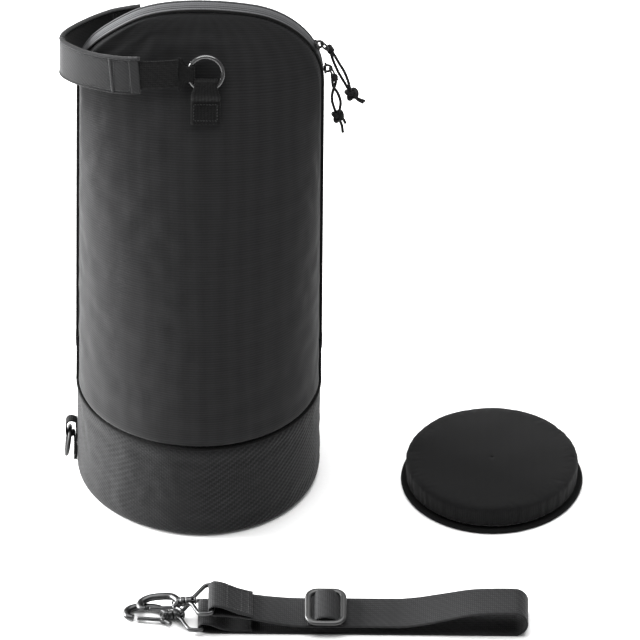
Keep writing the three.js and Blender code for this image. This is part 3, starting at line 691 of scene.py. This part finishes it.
def shells():
    front = padded_wall("front_wall_padded", -1, ["front_panel", "front_lower"], None)
    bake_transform(front)
    padded_wall("back_wall_padded", 1, ["back_shell"], "case")
    edge, inside_z = 0.007, 0.006
    profile = [(0.0001, 0.0), (R - edge, 0.0)]
    profile += [(R - edge + edge * sin(pi / 2 * k / 6), edge - edge * cos(pi / 2 * k / 6)) for k in range(1,
                                                                                                          7)]
    profile += [(R, BAND_Z - 0.004), (R - 0.001, BAND_Z - 0.0006), (R - WALL + 0.0015, BAND_Z - 0.0004),
                (R - WALL, BAND_Z - 0.003), (R - WALL, inside_z + 0.004), (R - WALL - 0.003, inside_z),
                (0.0001, inside_z)]
    profile = split_long(profile, 0.006)

    def ripple(angle, r, z):
        if r < 0.09 or z < 0.008:
            return 0, 0
        up = (z - 0.008) / 0.09
        wave = noise.noise(Vector((cos(angle) * 3, sin(angle) * 3, z * 12)))
        return (0.0009 * wave * sin(pi * min(1, up)), 0) if r > R - 0.004 else (0, 0)

    cup = lathe("base_cup_padded", profile, 120, BAND, "case", "band_fabric", ["base_cup"], ripple=ripple)
    flat_weave(cup, -0.001, 0.008)
    line_with(cup, lambda f: hypot(f.center.x, f.center.y) < R - 0.006 and f.center.z > 0.004)
    pad_out(cup, lambda p: 1.0 if p.z < 0.012 or p.z > 0.092 else 0.2, 1.0, 0.0008)

    pad = [(0.0001, 0.0086), (0.098, 0.0086), (0.1008, 0.0105), (0.1012, 0.0135), (0.1, 0.0165),
           (0.095, 0.0181),
           (0.0001, 0.0186)]
    pad = split_long(pad, 0.008)
    floor_pad = lathe("floor_pad_padded", pad, 90, LINING, "case", "lining", ["floor_pad"],
                      ripple=lambda a, r, z: (0, -0.0012 * (0.5 + 0.5 * cos(r * 190)) * (z > 0.017)))
    flat_weave(floor_pad, 0.0, 0.03)
    pad_out(floor_pad, lambda p: 0.9 if p.z < 0.012 else 0.1, 0.8, 0.0006)
    board = NODES["base_board"].data.materials
    board.clear()
    board.append(BOARD)


# ---- gusset, zip and piping
def band_tape(name, inner, outer, ys, foot, body, material, slot, node, crown=0.0004, count=150):
    """A strip along the arch between two offsets and two y planes, its outer face slightly crowned."""
    rows = []
    y0, y1 = sorted(ys)
    for p, q in zip(arch(outer, foot, count), arch(inner, foot, count)):
        row = []
        for k in range(7):
            t = k / 6
            up = crown * sin(pi * t)
            n = (p - q).normalized()
            row.append(p + n * (up - (0.0004 if k in (0, 6) else 0)) + Vector((0, y0 + (y1 - y0) * t, 0)))
        row += [q + Vector((0, y1 + (y0 - y1) * k / 3, 0)) for k in range(4)]
        rows.append(row)
    return settle_crown(solid(name, grid(rows, wrap_col=True, cap=True), material, body, slot, [node]))


def gussets():
    foot = SPLIT + SEAM_GAP
    for word, side, body in (("front", -1, "front_flap"), ("back", 1, "case")):
        band_tape(f"gusset_{word}_tape", -0.006, 0.0, (side * GUSSET_HALF, side * 0.0026), foot, body, GUSSET,
                  "panel_fabric", f"gusset_{word}")
        band_tape(f"zip_lip_{word}", -0.0008, 0.0001, (side * 0.00018, side * 0.0025), foot, body, GUSSET,
                  "zip", f"zip_coil_{word}", crown=0.0005)
        line = [p + Vector((0, side * 0.0013, 0)) for p in arch(-0.0017, foot + 0.001, 1100)]
        turns = 300
        teeth = []
        for i, p in enumerate(line):
            t = 2 * pi * turns * i / len(line)
            n = (Vector((CORNER_X if p.x > 0 else -CORNER_X, p.y, min(p.z, SPRING))) - p).normalized()
            teeth.append(p + Vector((0, 0.0009 * sin(t), 0)) + n * (0.0006 * cos(t)))
        settle_crown(sweep(f"zip_teeth_{word}", teeth, circle(0.00028, 5), PLASTIC, body, "zip"))
        y = side * (GUSSET_HALF + SEAM_GAP / 2 + 0.0012)
        pipe = [p + Vector((0, y, 0)) for p in arch(0.0005 if side < 0 else -0.0002, foot, 190)]
        thin = circle(0.0012 if side < 0 else 0.001, 12)
        settle_crown(sweep(f"piping_{word}_cord", pipe, thin, PIPE if side < 0 else GUSSET, body, "trim",
                           [f"piping_{word}"]))
        stitch = [p + Vector((0, side * 0.0049, 0)) for p in arch(0.0003, foot + 0.003, 240)]
        rows = []
        for a, b in zip(stitch[::6], stitch[6::6]):
            hub = Vector((max(-CORNER_X, min(CORNER_X, a.x)), a.y, min(a.z, SPRING)))
            rows.append(([a, b], (a - hub).normalized()))
        settle_crown(stitches(f"gusset_{word}_stitches", rows, body, "trim", pitch=0.0034, radius=0.00026))
    for word, side in (("left", -1), ("right", 1)):
        low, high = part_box(f"gusset_side_{word}")
        x = side * (R - 0.003)
        line = [Vector((x, 0, low.z + (high.z - low.z) * k / 14)) for k in range(15)]
        sweep(f"gusset_side_{word}_tape", line, slab(0.013, 0.006, 0.0006), GUSSET, "case", "panel_fabric",
              [f"gusset_side_{word}"], side=Y_WAY)
        low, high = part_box(f"zip_end_{word}")
        line = [Vector((side * (R + 0.0009), 0, low.z + (high.z - low.z) * k / 8)) for k in range(9)]
        sweep(f"zip_end_{word}_tab", line, slab(0.013, 0.0016, 0.0006), WEB, "case", "webbing",
              [f"zip_end_{word}"],
              side=Y_WAY)
        out = Vector((side, 0, 0))
        face = side * (R + 0.0018)
        foot_z, head_z = low.z + 0.002, high.z - 0.002
        box = ((-0.005, foot_z), (0.005, foot_z), (0.005, head_z), (-0.005, head_z), (-0.005, foot_z))
        spots = [Vector((face, y, z)) for y, z in box]
        stitches(f"zip_end_{word}_stitches", [([a, b], out) for a, b in zip(spots, spots[1:])], "case",
                 "trim",
                 pitch=0.0026, radius=0.00028)
        for wall, way, cloth_used in (("front", -1, PIPE), ("back", 1, GUSSET)):
            y = way * (GUSSET_HALF + SEAM_GAP / 2 + 0.0009)
            line = [Vector((side * (R + 0.0002), y, BAND_Z + 0.002 + (SPLIT - BAND_Z - 0.003) * k / 10))
                    for k in range(11)]
            sweep(f"side_welt_{word}_{wall}", line, circle(0.0011, 10), cloth_used, "case", "trim")
    low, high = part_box("band_piping")
    ring = [Vector((x, y, (low.z + high.z) / 2)) for x, y in circle(R + 0.0004, 160)]
    sweep("band_piping_cord", ring, circle(0.00115, 10), PIPE, "case", "trim", ["band_piping"], closed=True)


# ---- rings, tabs and handle
def ring_place(side):
    """The leaning frame at an O-ring's centre: its local -Y looks out of the case."""
    turn = Matrix.Rotation(pi if side > 0 else 0, 4, "Z") @ Matrix.Rotation(-0.367, 4, "X")
    return Matrix.Translation(V(5, side * 33.2, 464)) @ turn


def torus(name, place, radius, wire, material, body, slot, node):
    """A wire ring with its weld: a slightly thicker stretch."""
    line = [place @ Vector((x, 0, z)) for x, z in circle(radius, 72)]
    weld = [1 + 0.06 * exp(-((k - 50) / 1.6) ** 2) for k in range(72)]
    return sweep(name, line, circle(wire, 16), material, body, slot, [node], closed=True,
                 scale=lambda t: (weld[round(t * 71)],) * 2)


def ring_tab(name, place, body, node):
    knots = [(4.45, -48), (4.45, -30), (4.45, -9.2), (3.3, -6.3), (0.1, -5.45), (-3.1, -6.2), (-4.05, -8.8),
             (-4.05, -18),
             (-2.2, -21.6), (1.4, -25.2), (2.85, -28.6), (2.85, -48)]
    line = smooth_path([place @ V(0, y, z) for y, z in knots], 90)
    side = place.to_3x3() @ X_WAY
    inverse = place.inverted()

    def width(t):
        z = (inverse @ line[round(t * 89)]).z * 1000
        return 0.79 + 0.21 * eased((-z - 10) / 12), 1

    sweep(name, line, tape(0.0265, 0.00145, 10, 0.0001), WEB, body, "webbing", [node], side=side, scale=width)
    out = place.to_3x3() @ Vector((0, -1, 0))
    rows = []
    for z in (-44.5, -29.5):
        rows.append(([place @ V(-10.5, 2.0, z), place @ V(10.5, 2.0, z)], out))
    for x in (-10.5, 10.5):
        rows.append(([place @ V(x, 2.0, -44.5), place @ V(x, 2.0, -29.5)], out))
    stitches(f"{name}_stitches", rows, body, "trim", pitch=0.0028, radius=0.0003)


def handle_line(side):
    knots = [(-20.5, 37.6), (-38, 40), (-55, 40.5), (-74, 37.5), (-93, 30), (-110, 19.5), (-122, 8),
             (-125.2, 0.15)]
    line = smooth_path([V(x, side * y, 467) for x, y in knots], 120)
    for p in line:
        p.z -= 0.0078 * min(1, max(0, (-0.046 - p.x) / 0.08)) ** 1.3
    return line


def handle_half(word, side, body):
    up = Z_WAY
    line = handle_line(side)
    split = V(-54, 0, 0).x
    plain = even([p for p in line if p.x > split - 0.003], 34)
    sleeve = even([p for p in line if p.x < split - 0.0002], 90)
    sweep(f"handle_{word}_webbing", plain, tape(0.0305, 0.0021, 12, 0.00015), WEB, body, "webbing",
          [f"handle_webbing_{word}"], side=up)
    soft = [1 + 0.028 * noise.noise(p * 60) for p in sleeve]

    def plump(t):
        return soft[round(t * 89)], 1 - 0.25 * exp(-(t / 0.03) ** 2)

    sweep(f"handle_{word}_sleeve", sleeve, tape(0.0385, 0.0036, 14, -0.0003), SLEEVE, body, "webbing",
          [f"handle_sleeve_{word}"], side=up, scale=plump)
    for edge, z in (("top", 0.0187), ("bottom", -0.0187)):
        path = [p + up * z * soft[i] for i, p in enumerate(sleeve)]
        sweep(f"handle_{word}_binding_{edge}", path, [(a * 1.0, b * 2.3) for a, b in circle(0.0011, 12)],
              SLEEVE, body,
              "webbing", side=up)
    for part, (first, last), wide, thick in (("cuff", (0, 10), 0.0402, 0.0049),
                                             ("fold", (25, 29), 0.0396, 0.0042)):
        sweep(f"handle_{word}_{part}", sleeve[first:last], tape(wide, thick, 12, 0.0), SLEEVE, body,
              "webbing", side=up)
    rows = []
    placed = frames(sleeve, up)

    def face(index, z, outside):
        n = placed[index][1]
        if (n.y * side > 0) != outside:
            n = -n
        return sleeve[index] + up * z + n * 0.00185, n

    for outside in (True, False):
        for z in (0.0162, -0.0162):
            for i in range(0, 89, 2):
                a, n = face(i, z, outside)
                b = face(min(i + 2, 89), z, outside)[0]
                rows.append(([a, b], n))
        for i in (3, 9, 24, 27):
            a, n = face(i, -0.0158, outside)
            b = face(i, 0.0158, outside)[0]
            rows.append(([a, b], n))
    stitches(f"handle_{word}_stitches", rows, body, "webbing", pitch=0.0027, radius=0.00028)


def handle_end(word, side, body, place):
    """The webbing gathered round the ring: wide where it leaves the handle, narrow on the wire."""
    flip = -1 if side > 0 else 1
    knots = [(-25, -3.6), (-19.5, -3.5), (-14, -3.3), (-11.3, -2.6), (-10.25, 0), (-11.3, 2.6), (-14, 3.3),
             (-18.5, 3.3), (-22.5, 1.0)]
    line = smooth_path([place @ V(flip * x, y, 0) for x, y in knots], 60)
    up = place.to_3x3() @ Z_WAY
    inverse = place.inverted()

    def width(t):
        away = abs((inverse @ line[round(t * 59)]).x) * 1000
        return 0.49 + 0.51 * eased((away - 17.5) / 6.5), 1

    sweep(f"handle_end_{word}_fold", line, tape(0.031, 0.0013, 12, 0.0001), WEB, body, "webbing",
          [f"handle_end_{word}"], side=up, scale=width)


def rings_and_handle():
    for word, side, base in (("front", -1, "front_flap"), ("back", 1, "case")):
        place = ring_place(side)
        torus(f"{word}_o_ring", place, 0.0155, 0.002, BLACK_METAL, f"{word}_ring", "black_metal",
              f"{word}_ring")
        ring_tab(f"{word}_ring_tab_fold", place, base, f"{word}_ring_tab")
        handle_half(word, side, f"handle_{word}")
        handle_end(word, side, f"handle_{word}", place)


def lower_side_tab():
    knots = [(-111.0, 8), (-111.0, 46), (-112.5, 50), (-115.5, 51.1), (-118.8, 49.9), (-120.15, 46),
             (-120.15, 37.2),
             (-118.8, 34), (-115.8, 33.6), (-113.7, 35.2), (-112.6, 31), (-112.5, 8)]
    line = smooth_path([V(x, 0, z) for x, z in knots], 80)
    sweep("lower_tab_fold", line, tape(0.010, 0.0013, 7, 0.0001), WEB, "case", "webbing", ["lower_tab"],
          side=Y_WAY)
    place = Matrix.Translation(V(-116.6, 0, 39.2)) @ Matrix.Rotation(0.14, 4, "Y")
    place = place @ Matrix.Translation(V(0, 0, -13)) @ Matrix.Rotation(pi / 2, 4, "Z")
    torus("lower_o_ring", place, 0.013, 0.00175, WIRE, "lower_ring", "black_metal", "lower_ring")
    out = Vector((-1, 0, 0))
    rows = [([V(-113.2, y, 12), V(-113.2, y, 27)], out) for y in (-3.4, 3.4)]
    rows += [([V(-113.2, -3.4, z), V(-113.2, 3.4, z)], out) for z in (12, 27)]
    stitches("lower_tab_stitches", rows, "case", "trim", pitch=0.0026, radius=0.00028)


# ---- zip sliders
def slider(number, place, body, pull, direction, hang):
    """Two plates joined by a wedge, a wire bridge, and the wire ring the cords are tied through."""
    outline = [(-4.6, -2.2), (-3.4, -2.7), (-1, -3.6), (0.6, -3.8), (3.2, -3.8), (4.2, -3.3), (4.6, -2.5)]
    outline += [(a, -b) for a, b in reversed(outline)]
    rows = []
    for x, f in ((0.1, 0.72), (0.0, 0.9), (0.25, 1.0), (1.5, 1.0), (1.95, 0.93), (2.15, 0.8), (2.2, 0.45)):
        rows.append([place @ V(x, b * f, a * f) for a, b in outline])
    made = grid(rows, wrap_col=True, cap=True)
    solid(f"slider_{number}_body", made, WIRE, body, "black_metal", [f"slider_{number}"])
    rows = [[place @ V(x, b * f, a * f) for a, b in outline]
            for x, f in ((-0.7, 0.3), (-0.65, 0.42), (-0.2, 0.5), (0.3, 0.5), (0.35, 0.3))]
    solid(f"slider_{number}_neck", grid(rows, wrap_col=True, cap=True), WIRE, body, "black_metal")
    arch_line = [place @ V(1.7 + 5.2 * cos(a), 0, 3.6 * sin(a)) for a in
                 [-pi / 2 + pi * k / 22 for k in range(23)]]
    sweep(f"slider_{number}_bridge", arch_line, [(a * 1.4, b * 1.0) for a, b in circle(0.00105, 12)], WIRE,
          body, "black_metal", side=Y_WAY)
    reach = 0.0046
    along = Vector((cos(direction), 0, sin(direction)))
    middle = hang + along * reach
    ring = [middle + along * (reach * cos(a)) + Vector((0, 0.0036 * sin(a), 0)) for a in angles(40)]
    sweep(f"pull_ring_{number}_wire", ring, circle(0.00088, 10), WIRE, pull, "black_metal",
          [f"pull_ring_{number}"], closed=True)


def zip_pulls():
    angle, out = 0.445, CORNER + 0.0014
    spot = Vector((CORNER_X + out * cos(angle), 0, SPRING + out * sin(angle)))
    place = Matrix.Translation(spot) @ Matrix.Rotation(-angle, 4, "Y")
    slider(1, place, "slider_1", "pull_1", -0.75, place @ V(4.9, 0, 0))
    place = Matrix.Translation(V(111.4, 0, 447))
    slider(2, place, "slider_2", "pull_2", -1.05, place @ V(4.9, 0, 0))


# ---- cap
def round_cap():
    low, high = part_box("cap_binding")
    centre = Vector(((low.x + high.x) / 2, (low.y + high.y) / 2, 0))
    top, rad, wall = 0.0262, 0.0782, 0.004
    profile = [(0.0001, top), (rad - 0.006, top - 0.0002), (rad - 0.0028, top - 0.0007),
               (rad - 0.0009, top - 0.0021),
               (rad - 0.0001, top - 0.0045), (rad, top - 0.009), (rad - 0.001, 0.0046),
               (rad - wall - 0.001, 0.0042),
               (rad - wall, top - 0.012), (rad - wall - 0.004, top - 0.0095), (0.0001, top - 0.0095)]
    profile = split_long(profile, 0.0045)

    def gathers(angle, r, z):
        if r < rad - 0.012 or z > top:
            return 0, 0
        low_part = max(0.0, 1 - z / (top - 0.004))
        wide, narrow = sin(angle * 46 + 2.2 * sin(angle * 5)), sin(angle * 71 + 1.3 * sin(angle * 3))
        folds = 0.55 * wide + 0.45 * narrow
        big = noise.noise(Vector((cos(angle) * 4, sin(angle) * 4, 0.3)))
        amount = 0.0011 * (0.25 + low_part) * (0.6 + 0.8 * abs(big))
        return (amount * folds, 0) if r > rad - 0.002 else (0, 0)

    def crown(angle, r, z):
        dr, dz = gathers(angle, r, z)
        if z > top - 0.004:
            dz += 0.0008 * noise.noise(Vector((r * cos(angle) * 30, r * sin(angle) * 30, 1.7)))
        return dr, dz

    cover = lathe("cap_cover_padded", profile, 220, CAP, "cap", "cap_fabric", ["cap_cover"], centre, crown)
    flat_weave(cover, top - 0.012, top + 0.01)
    line_with(cover, lambda f: hypot(*(f.center - centre).xy) < rad - 0.003 and f.center.z < top - 0.004)
    pad_out(cover, lambda p: 1.0 if p.z < 0.008 or (p - centre).xy.length < rad - 0.012 else 0.15, 1.0,
            0.0009)
    hem = [(rad - wall, 0.0), (0.0812, 0.0), (0.0823, 0.0007), (0.0826, 0.0018), (0.0820, 0.003),
           (0.0804, 0.0034),
           (0.0784, 0.0028), (rad - wall, 0.0028)]
    hem = split_long(hem, 0.002)

    def wavy(angle, r, z):
        if r < rad + 0.0012:
            return 0, 0
        w = noise.noise(Vector((cos(angle) * 5, sin(angle) * 5, 2.2)))
        return 0.0004 * w, (0.0005 * (w + 0.6) if z > 0.0005 else 0)

    lathe("cap_binding_edge", hem, 200, PIPE, "cap", "trim", ["cap_binding"], centre, wavy)
    seam = [centre + Vector((x, y, 0.0062)) for x, y in circle(rad - 0.0006, 40)]
    rows = [([a, b], (a - centre).normalized()) for a, b in zip(seam, seam[1:] + seam[:1])]
    stitches("cap_seam_stitches", rows, "cap", "trim", pitch=0.0034, radius=0.0003)


# ---- strap
EYE_A, EYE_B = (17, 25.6), (7, 6.3)


def half_turn(middle, radius, start, way):
    """The strap's (x, z) points round a wire or through its end fold."""
    turns = [start + way * pi * k / 8 for k in range(9)]
    return [(middle[0] + radius * cos(a), middle[1] + radius * sin(a)) for a in turns]


def strap_path():
    line = [(51, 3.6), (31, 3.6), (21, 6.2), (13, 9.8)]
    line += half_turn(EYE_B, 4.4, pi / 2, 1)
    line += [(15, 1), (31, 1), (75, 1), (120, 1), (170, 1), (220, 1), (262, 1)]
    line += half_turn((287, 13), 12, -pi / 2, 1)
    line += [(268, 24.9), (248, 23), (225, 17), (203, 11.4), (186, 9), (172, 8.8), (130, 8.8), (105, 8.8),
             (92, 8.8),
             (78, 10.6), (54, 15.8), (36, 19), (24, 20.2)]
    line += half_turn(EYE_A, 5.3, -pi / 2, -1)
    line += [(24, 29.4), (31, 26.2), (39, 22.8), (51, 19.4)]
    return smooth_path([Vector((x / 1000, STRAP_Y, z / 1000)) for x, z in line], 420)


STRAP_LEAN, STRAP_FRONT = radians(6), STRAP_Y - STRAP_HALF


def lean_of(p):
    """How far the strap's upper run has turned up from its front edge at this point."""
    if p.z < 0.005:
        return 0.0
    left, right = (p.x - 0.050) / 0.045, (0.270 - p.x) / 0.080
    return STRAP_LEAN * eased(min(left, right))


def shoulder_strap():
    band = tape(2 * STRAP_HALF, 0.0019, 14, 0.00008)
    line, sides = [], []
    for p in strap_path():
        lean = lean_of(p)
        s = Vector((0, cos(lean), sin(lean)))
        line.append(Vector((p.x, STRAP_FRONT, p.z)) + s * STRAP_HALF)
        sides.append(s)
    sweep("strap_band", line, band, STRAP, "strap", "strap", ["strap_webbing"], side=sides)
    rows = []
    for x, z in ((47, 21.6), (41, 23.2), (28, 28.9)):
        rows.append(([V(x, -252, z), V(x, -220, z)], Vector((0.25, 0, 1)).normalized()))
    for y in (-252, -220):
        rows.append(([V(47, y, 21.6), V(28, y, 28.9)], Vector((0.35, 0, 1)).normalized()))
    stitches("strap_end_stitches", rows, "strap", "strap", pitch=0.003, radius=0.00035)
    hump = [(-16.5, 11.2), (-13, 12), (-9.2, 15.6), (-6.4, 19), (0, 20.4), (6.4, 19), (9.2, 15.6), (13, 12),
            (16.5, 11.2)]
    over = smooth_path([V(117 + x, STRAP_Y * 1000, z) for x, z in hump], 50)
    threaded = sweep("glide_band", over, band, STRAP, "tri_glide", "strap", ["glide_webbing"], side=Y_WAY)
    low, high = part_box("tri_glide")
    middle = (low + high) / 2
    corner, inset = 0.0085, 0.0031
    outline = slab(high.x - low.x - 2 * inset, high.y - low.y - 2 * inset, corner, 8)
    path = [middle + Vector((x, y, 0)) for x, y in outline + outline[:1]]
    section = [(a * 2.0, b * 3.0) for a, b in circle(0.001, 16)]
    border = sweep("tri_glide_frame", even(path, 110, closed=True), section, PLASTIC, "tri_glide", "plastic",
                   ["tri_glide"], side=Z_WAY, closed=True)
    line = [middle + Vector((0, y / 1000, 0)) for y in range(-22, 23, 2)]
    bar = sweep("tri_glide_bar", line, [(a * 4.9, b * 1.9) for a, b in circle(0.001, 18)], PLASTIC,
                "tri_glide",
                "plastic", side=X_WAY)
    edge = Matrix.Translation((0, STRAP_FRONT, 0.0088))
    turn = edge @ Matrix.Rotation(STRAP_LEAN, 4, "X") @ edge.inverted()
    for piece in (threaded, border, bar):
        piece.data.transform(turn)


def hook_place(eye, yaw, pitch):
    turn = Matrix.Rotation(yaw, 4, "Z") @ Matrix.Rotation(pitch, 4, "Y")
    return Matrix.Translation(V(eye[0], STRAP_Y * 1000, eye[1])) @ turn @ Matrix.Translation(V(-24, 0, 0))


def snap_hook(letter, place):
    def part(name, knots, radius, node, body, count, flat=1.0, scale=None):
        line = smooth_path([place @ V(*p) for p in knots], count)
        section = [(a * flat, b) for a, b in circle(radius / 1000, 16)]
        sweep(f"hook_{letter}_{name}", line, section, GUNMETAL, body, "gunmetal", [node] if node else (),
              side=place.to_3x3() @ Z_WAY, scale=scale)

    def turned(name, profile, body, start=(0, 0, 0), axis=(1, 0, 0)):
        """A turned barrel: (distance along the axis, radius) in millimetres."""
        origin = place @ V(*start)
        direction = (place.to_3x3() @ Vector(axis)).normalized()
        s = direction.orthogonal().normalized()
        n = direction.cross(s)
        rows = []
        for d, r in profile:
            rows.append([origin + direction * (d / 1000) + (s * cos(a) + n * sin(a)) * (r / 1000)
                         for a in angles(22)])
        solid(f"hook_{letter}_{name}", grid(rows, wrap_col=True, cap=True), GUNMETAL, body, "gunmetal")

    body, gate, eye = f"hook_{letter}", f"hook_{letter}_gate", "strap"
    knots = [(-9, 0, 0), (-12.5, 4.6, 0), (-18, 9.6, 0), (-28, 11.3, 0), (-38.5, 10.6, 0), (-45.4, 5.4, 0),
             (-45.2, -2.4, 0), (-39.5, -5, 0)]
    part("spine", knots, 3.3, f"hook_{letter}_body", body, 70, 1.0,
         lambda t: (1.0 - 0.25 * max(0, t - 0.8) / 0.2, 1.0 + 0.08 * sin(pi * t)))
    turned("barrel", [(-12.8, 2.0), (-12.5, 3.6), (-11.5, 4.4), (-8.6, 4.6), (-8.2, 4.2), (-7.6, 4.2),
                      (-7.2, 4.6),
                      (-4.6, 4.6), (-3.8, 4.3), (-3.3, 3.4), (-3.2, 1.0)], body)
    turned("post", [(-4, 1.8), (5.0, 1.8), (5.05, 3.0), (5.5, 3.4), (6.2, 3.2), (6.7, 2.2), (6.8, 0.5)], body)
    for side in (-1, 1):
        ear = [(-14.3, -2.6, side * 3), (-14.4, -6.5, side * 3), (-12, -8.9, side * 3),
               (-9.6, -6.5, side * 3),
               (-9.7, -2.6, side * 3)]
        part(f"ear_{'low' if side < 0 else 'high'}", ear, 0.75, None, body, 30, 0.9)
    turned("pin", [(-3.9, 0.9), (-3.7, 1.5), (-3.3, 1.5), (-3.2, 1.0), (3.2, 1.0), (3.3, 1.5), (3.7, 1.5),
                   (3.9, 0.9)],
           body, (-12, -7.4, 0), (0, 0, 1))
    part("gate_arm", [(-35.7, -6.2, 0), (-26, -6.6, 0), (-18, -7.2, 0), (-12, -7.8, 0), (-8.5, -10.4, 0),
                      (-5, -13.6, 0)],
         1.85, f"hook_{letter}_gate", gate, 50, 1.0,
         lambda t: (1 + 0.25 * max(0, t - 0.7), 1 - 0.2 * max(0, t - 0.8)))
    turned("gate_boss", [(-1.9, 1.4), (-1.8, 2.5), (1.8, 2.5), (1.9, 1.4)], gate, (-12, -7.4, 0), (0, 0, 1))
    half = 21.9
    arm = [(0.5, 3.2), (4, 6.4), (8, 14), (12, 20.6), (16.5, half), (21, half), (23.6, half - 1.2)]
    loop = [(x, -y, 0) for x, y in arm]
    loop += [(24, y, 0) for y in (-17, -8, 0, 8, 17)]
    loop += [(x, y, 0) for x, y in reversed(arm)]
    part("eye_wire", loop, 1.75, f"hook_{letter}_eye", eye, 120, 1.0,
         lambda t: (1.0 + 0.25 * exp(-((min(t, 1 - t) - 0.2) / 0.09) ** 2), 1.05))
    turned("eye_collar", [(-3, 2.4), (-3, 3.8), (-2.5, 4.2), (2.5, 4.2), (3, 3.8), (3, 2.4), (-3, 2.4)], eye)


def strap_kit():
    shoulder_strap()
    snap_hook("a", hook_place(EYE_A, -0.122, -0.219))
    snap_hook("b", hook_place(EYE_B, -0.07, -0.04))


shells()
gussets()
rings_and_handle()
lower_side_tab()
zip_pulls()
round_cap()
strap_kit()


# ---- floor and light
def floor():
    mesh = bpy.data.meshes.new("floor")
    s = 4.0
    mesh.from_pydata([(-s, -s, 0), (s, -s, 0), (s, s, 0), (-s, s, 0)], [], [(0, 1, 2, 3)])
    obj = bpy.data.objects.new("floor", mesh)
    bpy.context.scene.collection.objects.link(obj)
    p = Paint("floor_paper", Roughness=0.9, Specular_IOR_Level=0.1)
    fine = p.noise(p.place(), 300.0, 2.0)
    mesh.materials.append(p.finish(p.mix(fine, (0.86, 0.86, 0.86, 1), (0.9, 0.9, 0.9, 1)), fine, 0.0001, 0.1))


def light(name, place, target, size, power):
    data = bpy.data.lights.new(name, "AREA")
    data.shape = "RECTANGLE"
    data.size, data.size_y = size
    data.energy = power
    obj = bpy.data.objects.new(name, data)
    obj.location = place
    obj.rotation_euler = (Vector(place) - Vector(target)).to_track_quat("Z", "Y").to_euler()
    bpy.context.scene.collection.objects.link(obj)


def studio():
    world = bpy.data.worlds.new("studio")
    world.use_nodes = True
    world.node_tree.nodes["Background"].inputs["Color"].default_value = (1, 1, 1, 1)
    world.node_tree.nodes["Background"].inputs["Strength"].default_value = 0.3
    bpy.context.scene.world = world
    light("overhead", (0.0, 0.25, 2.6), (0.1, 0, 0), (3.0, 2.4), 145)
    light("left_key", (-2.0, 0.52, 0.6), (0, 0, 0.25), (1.6, 1.4), 290)
    light("right_rim", (2.0, 1.1, 0.8), (0, 0, 0.25), (1.2, 1.4), 7)
    view = bpy.context.scene.view_settings
    view.view_transform = "Standard"


floor()
studio()
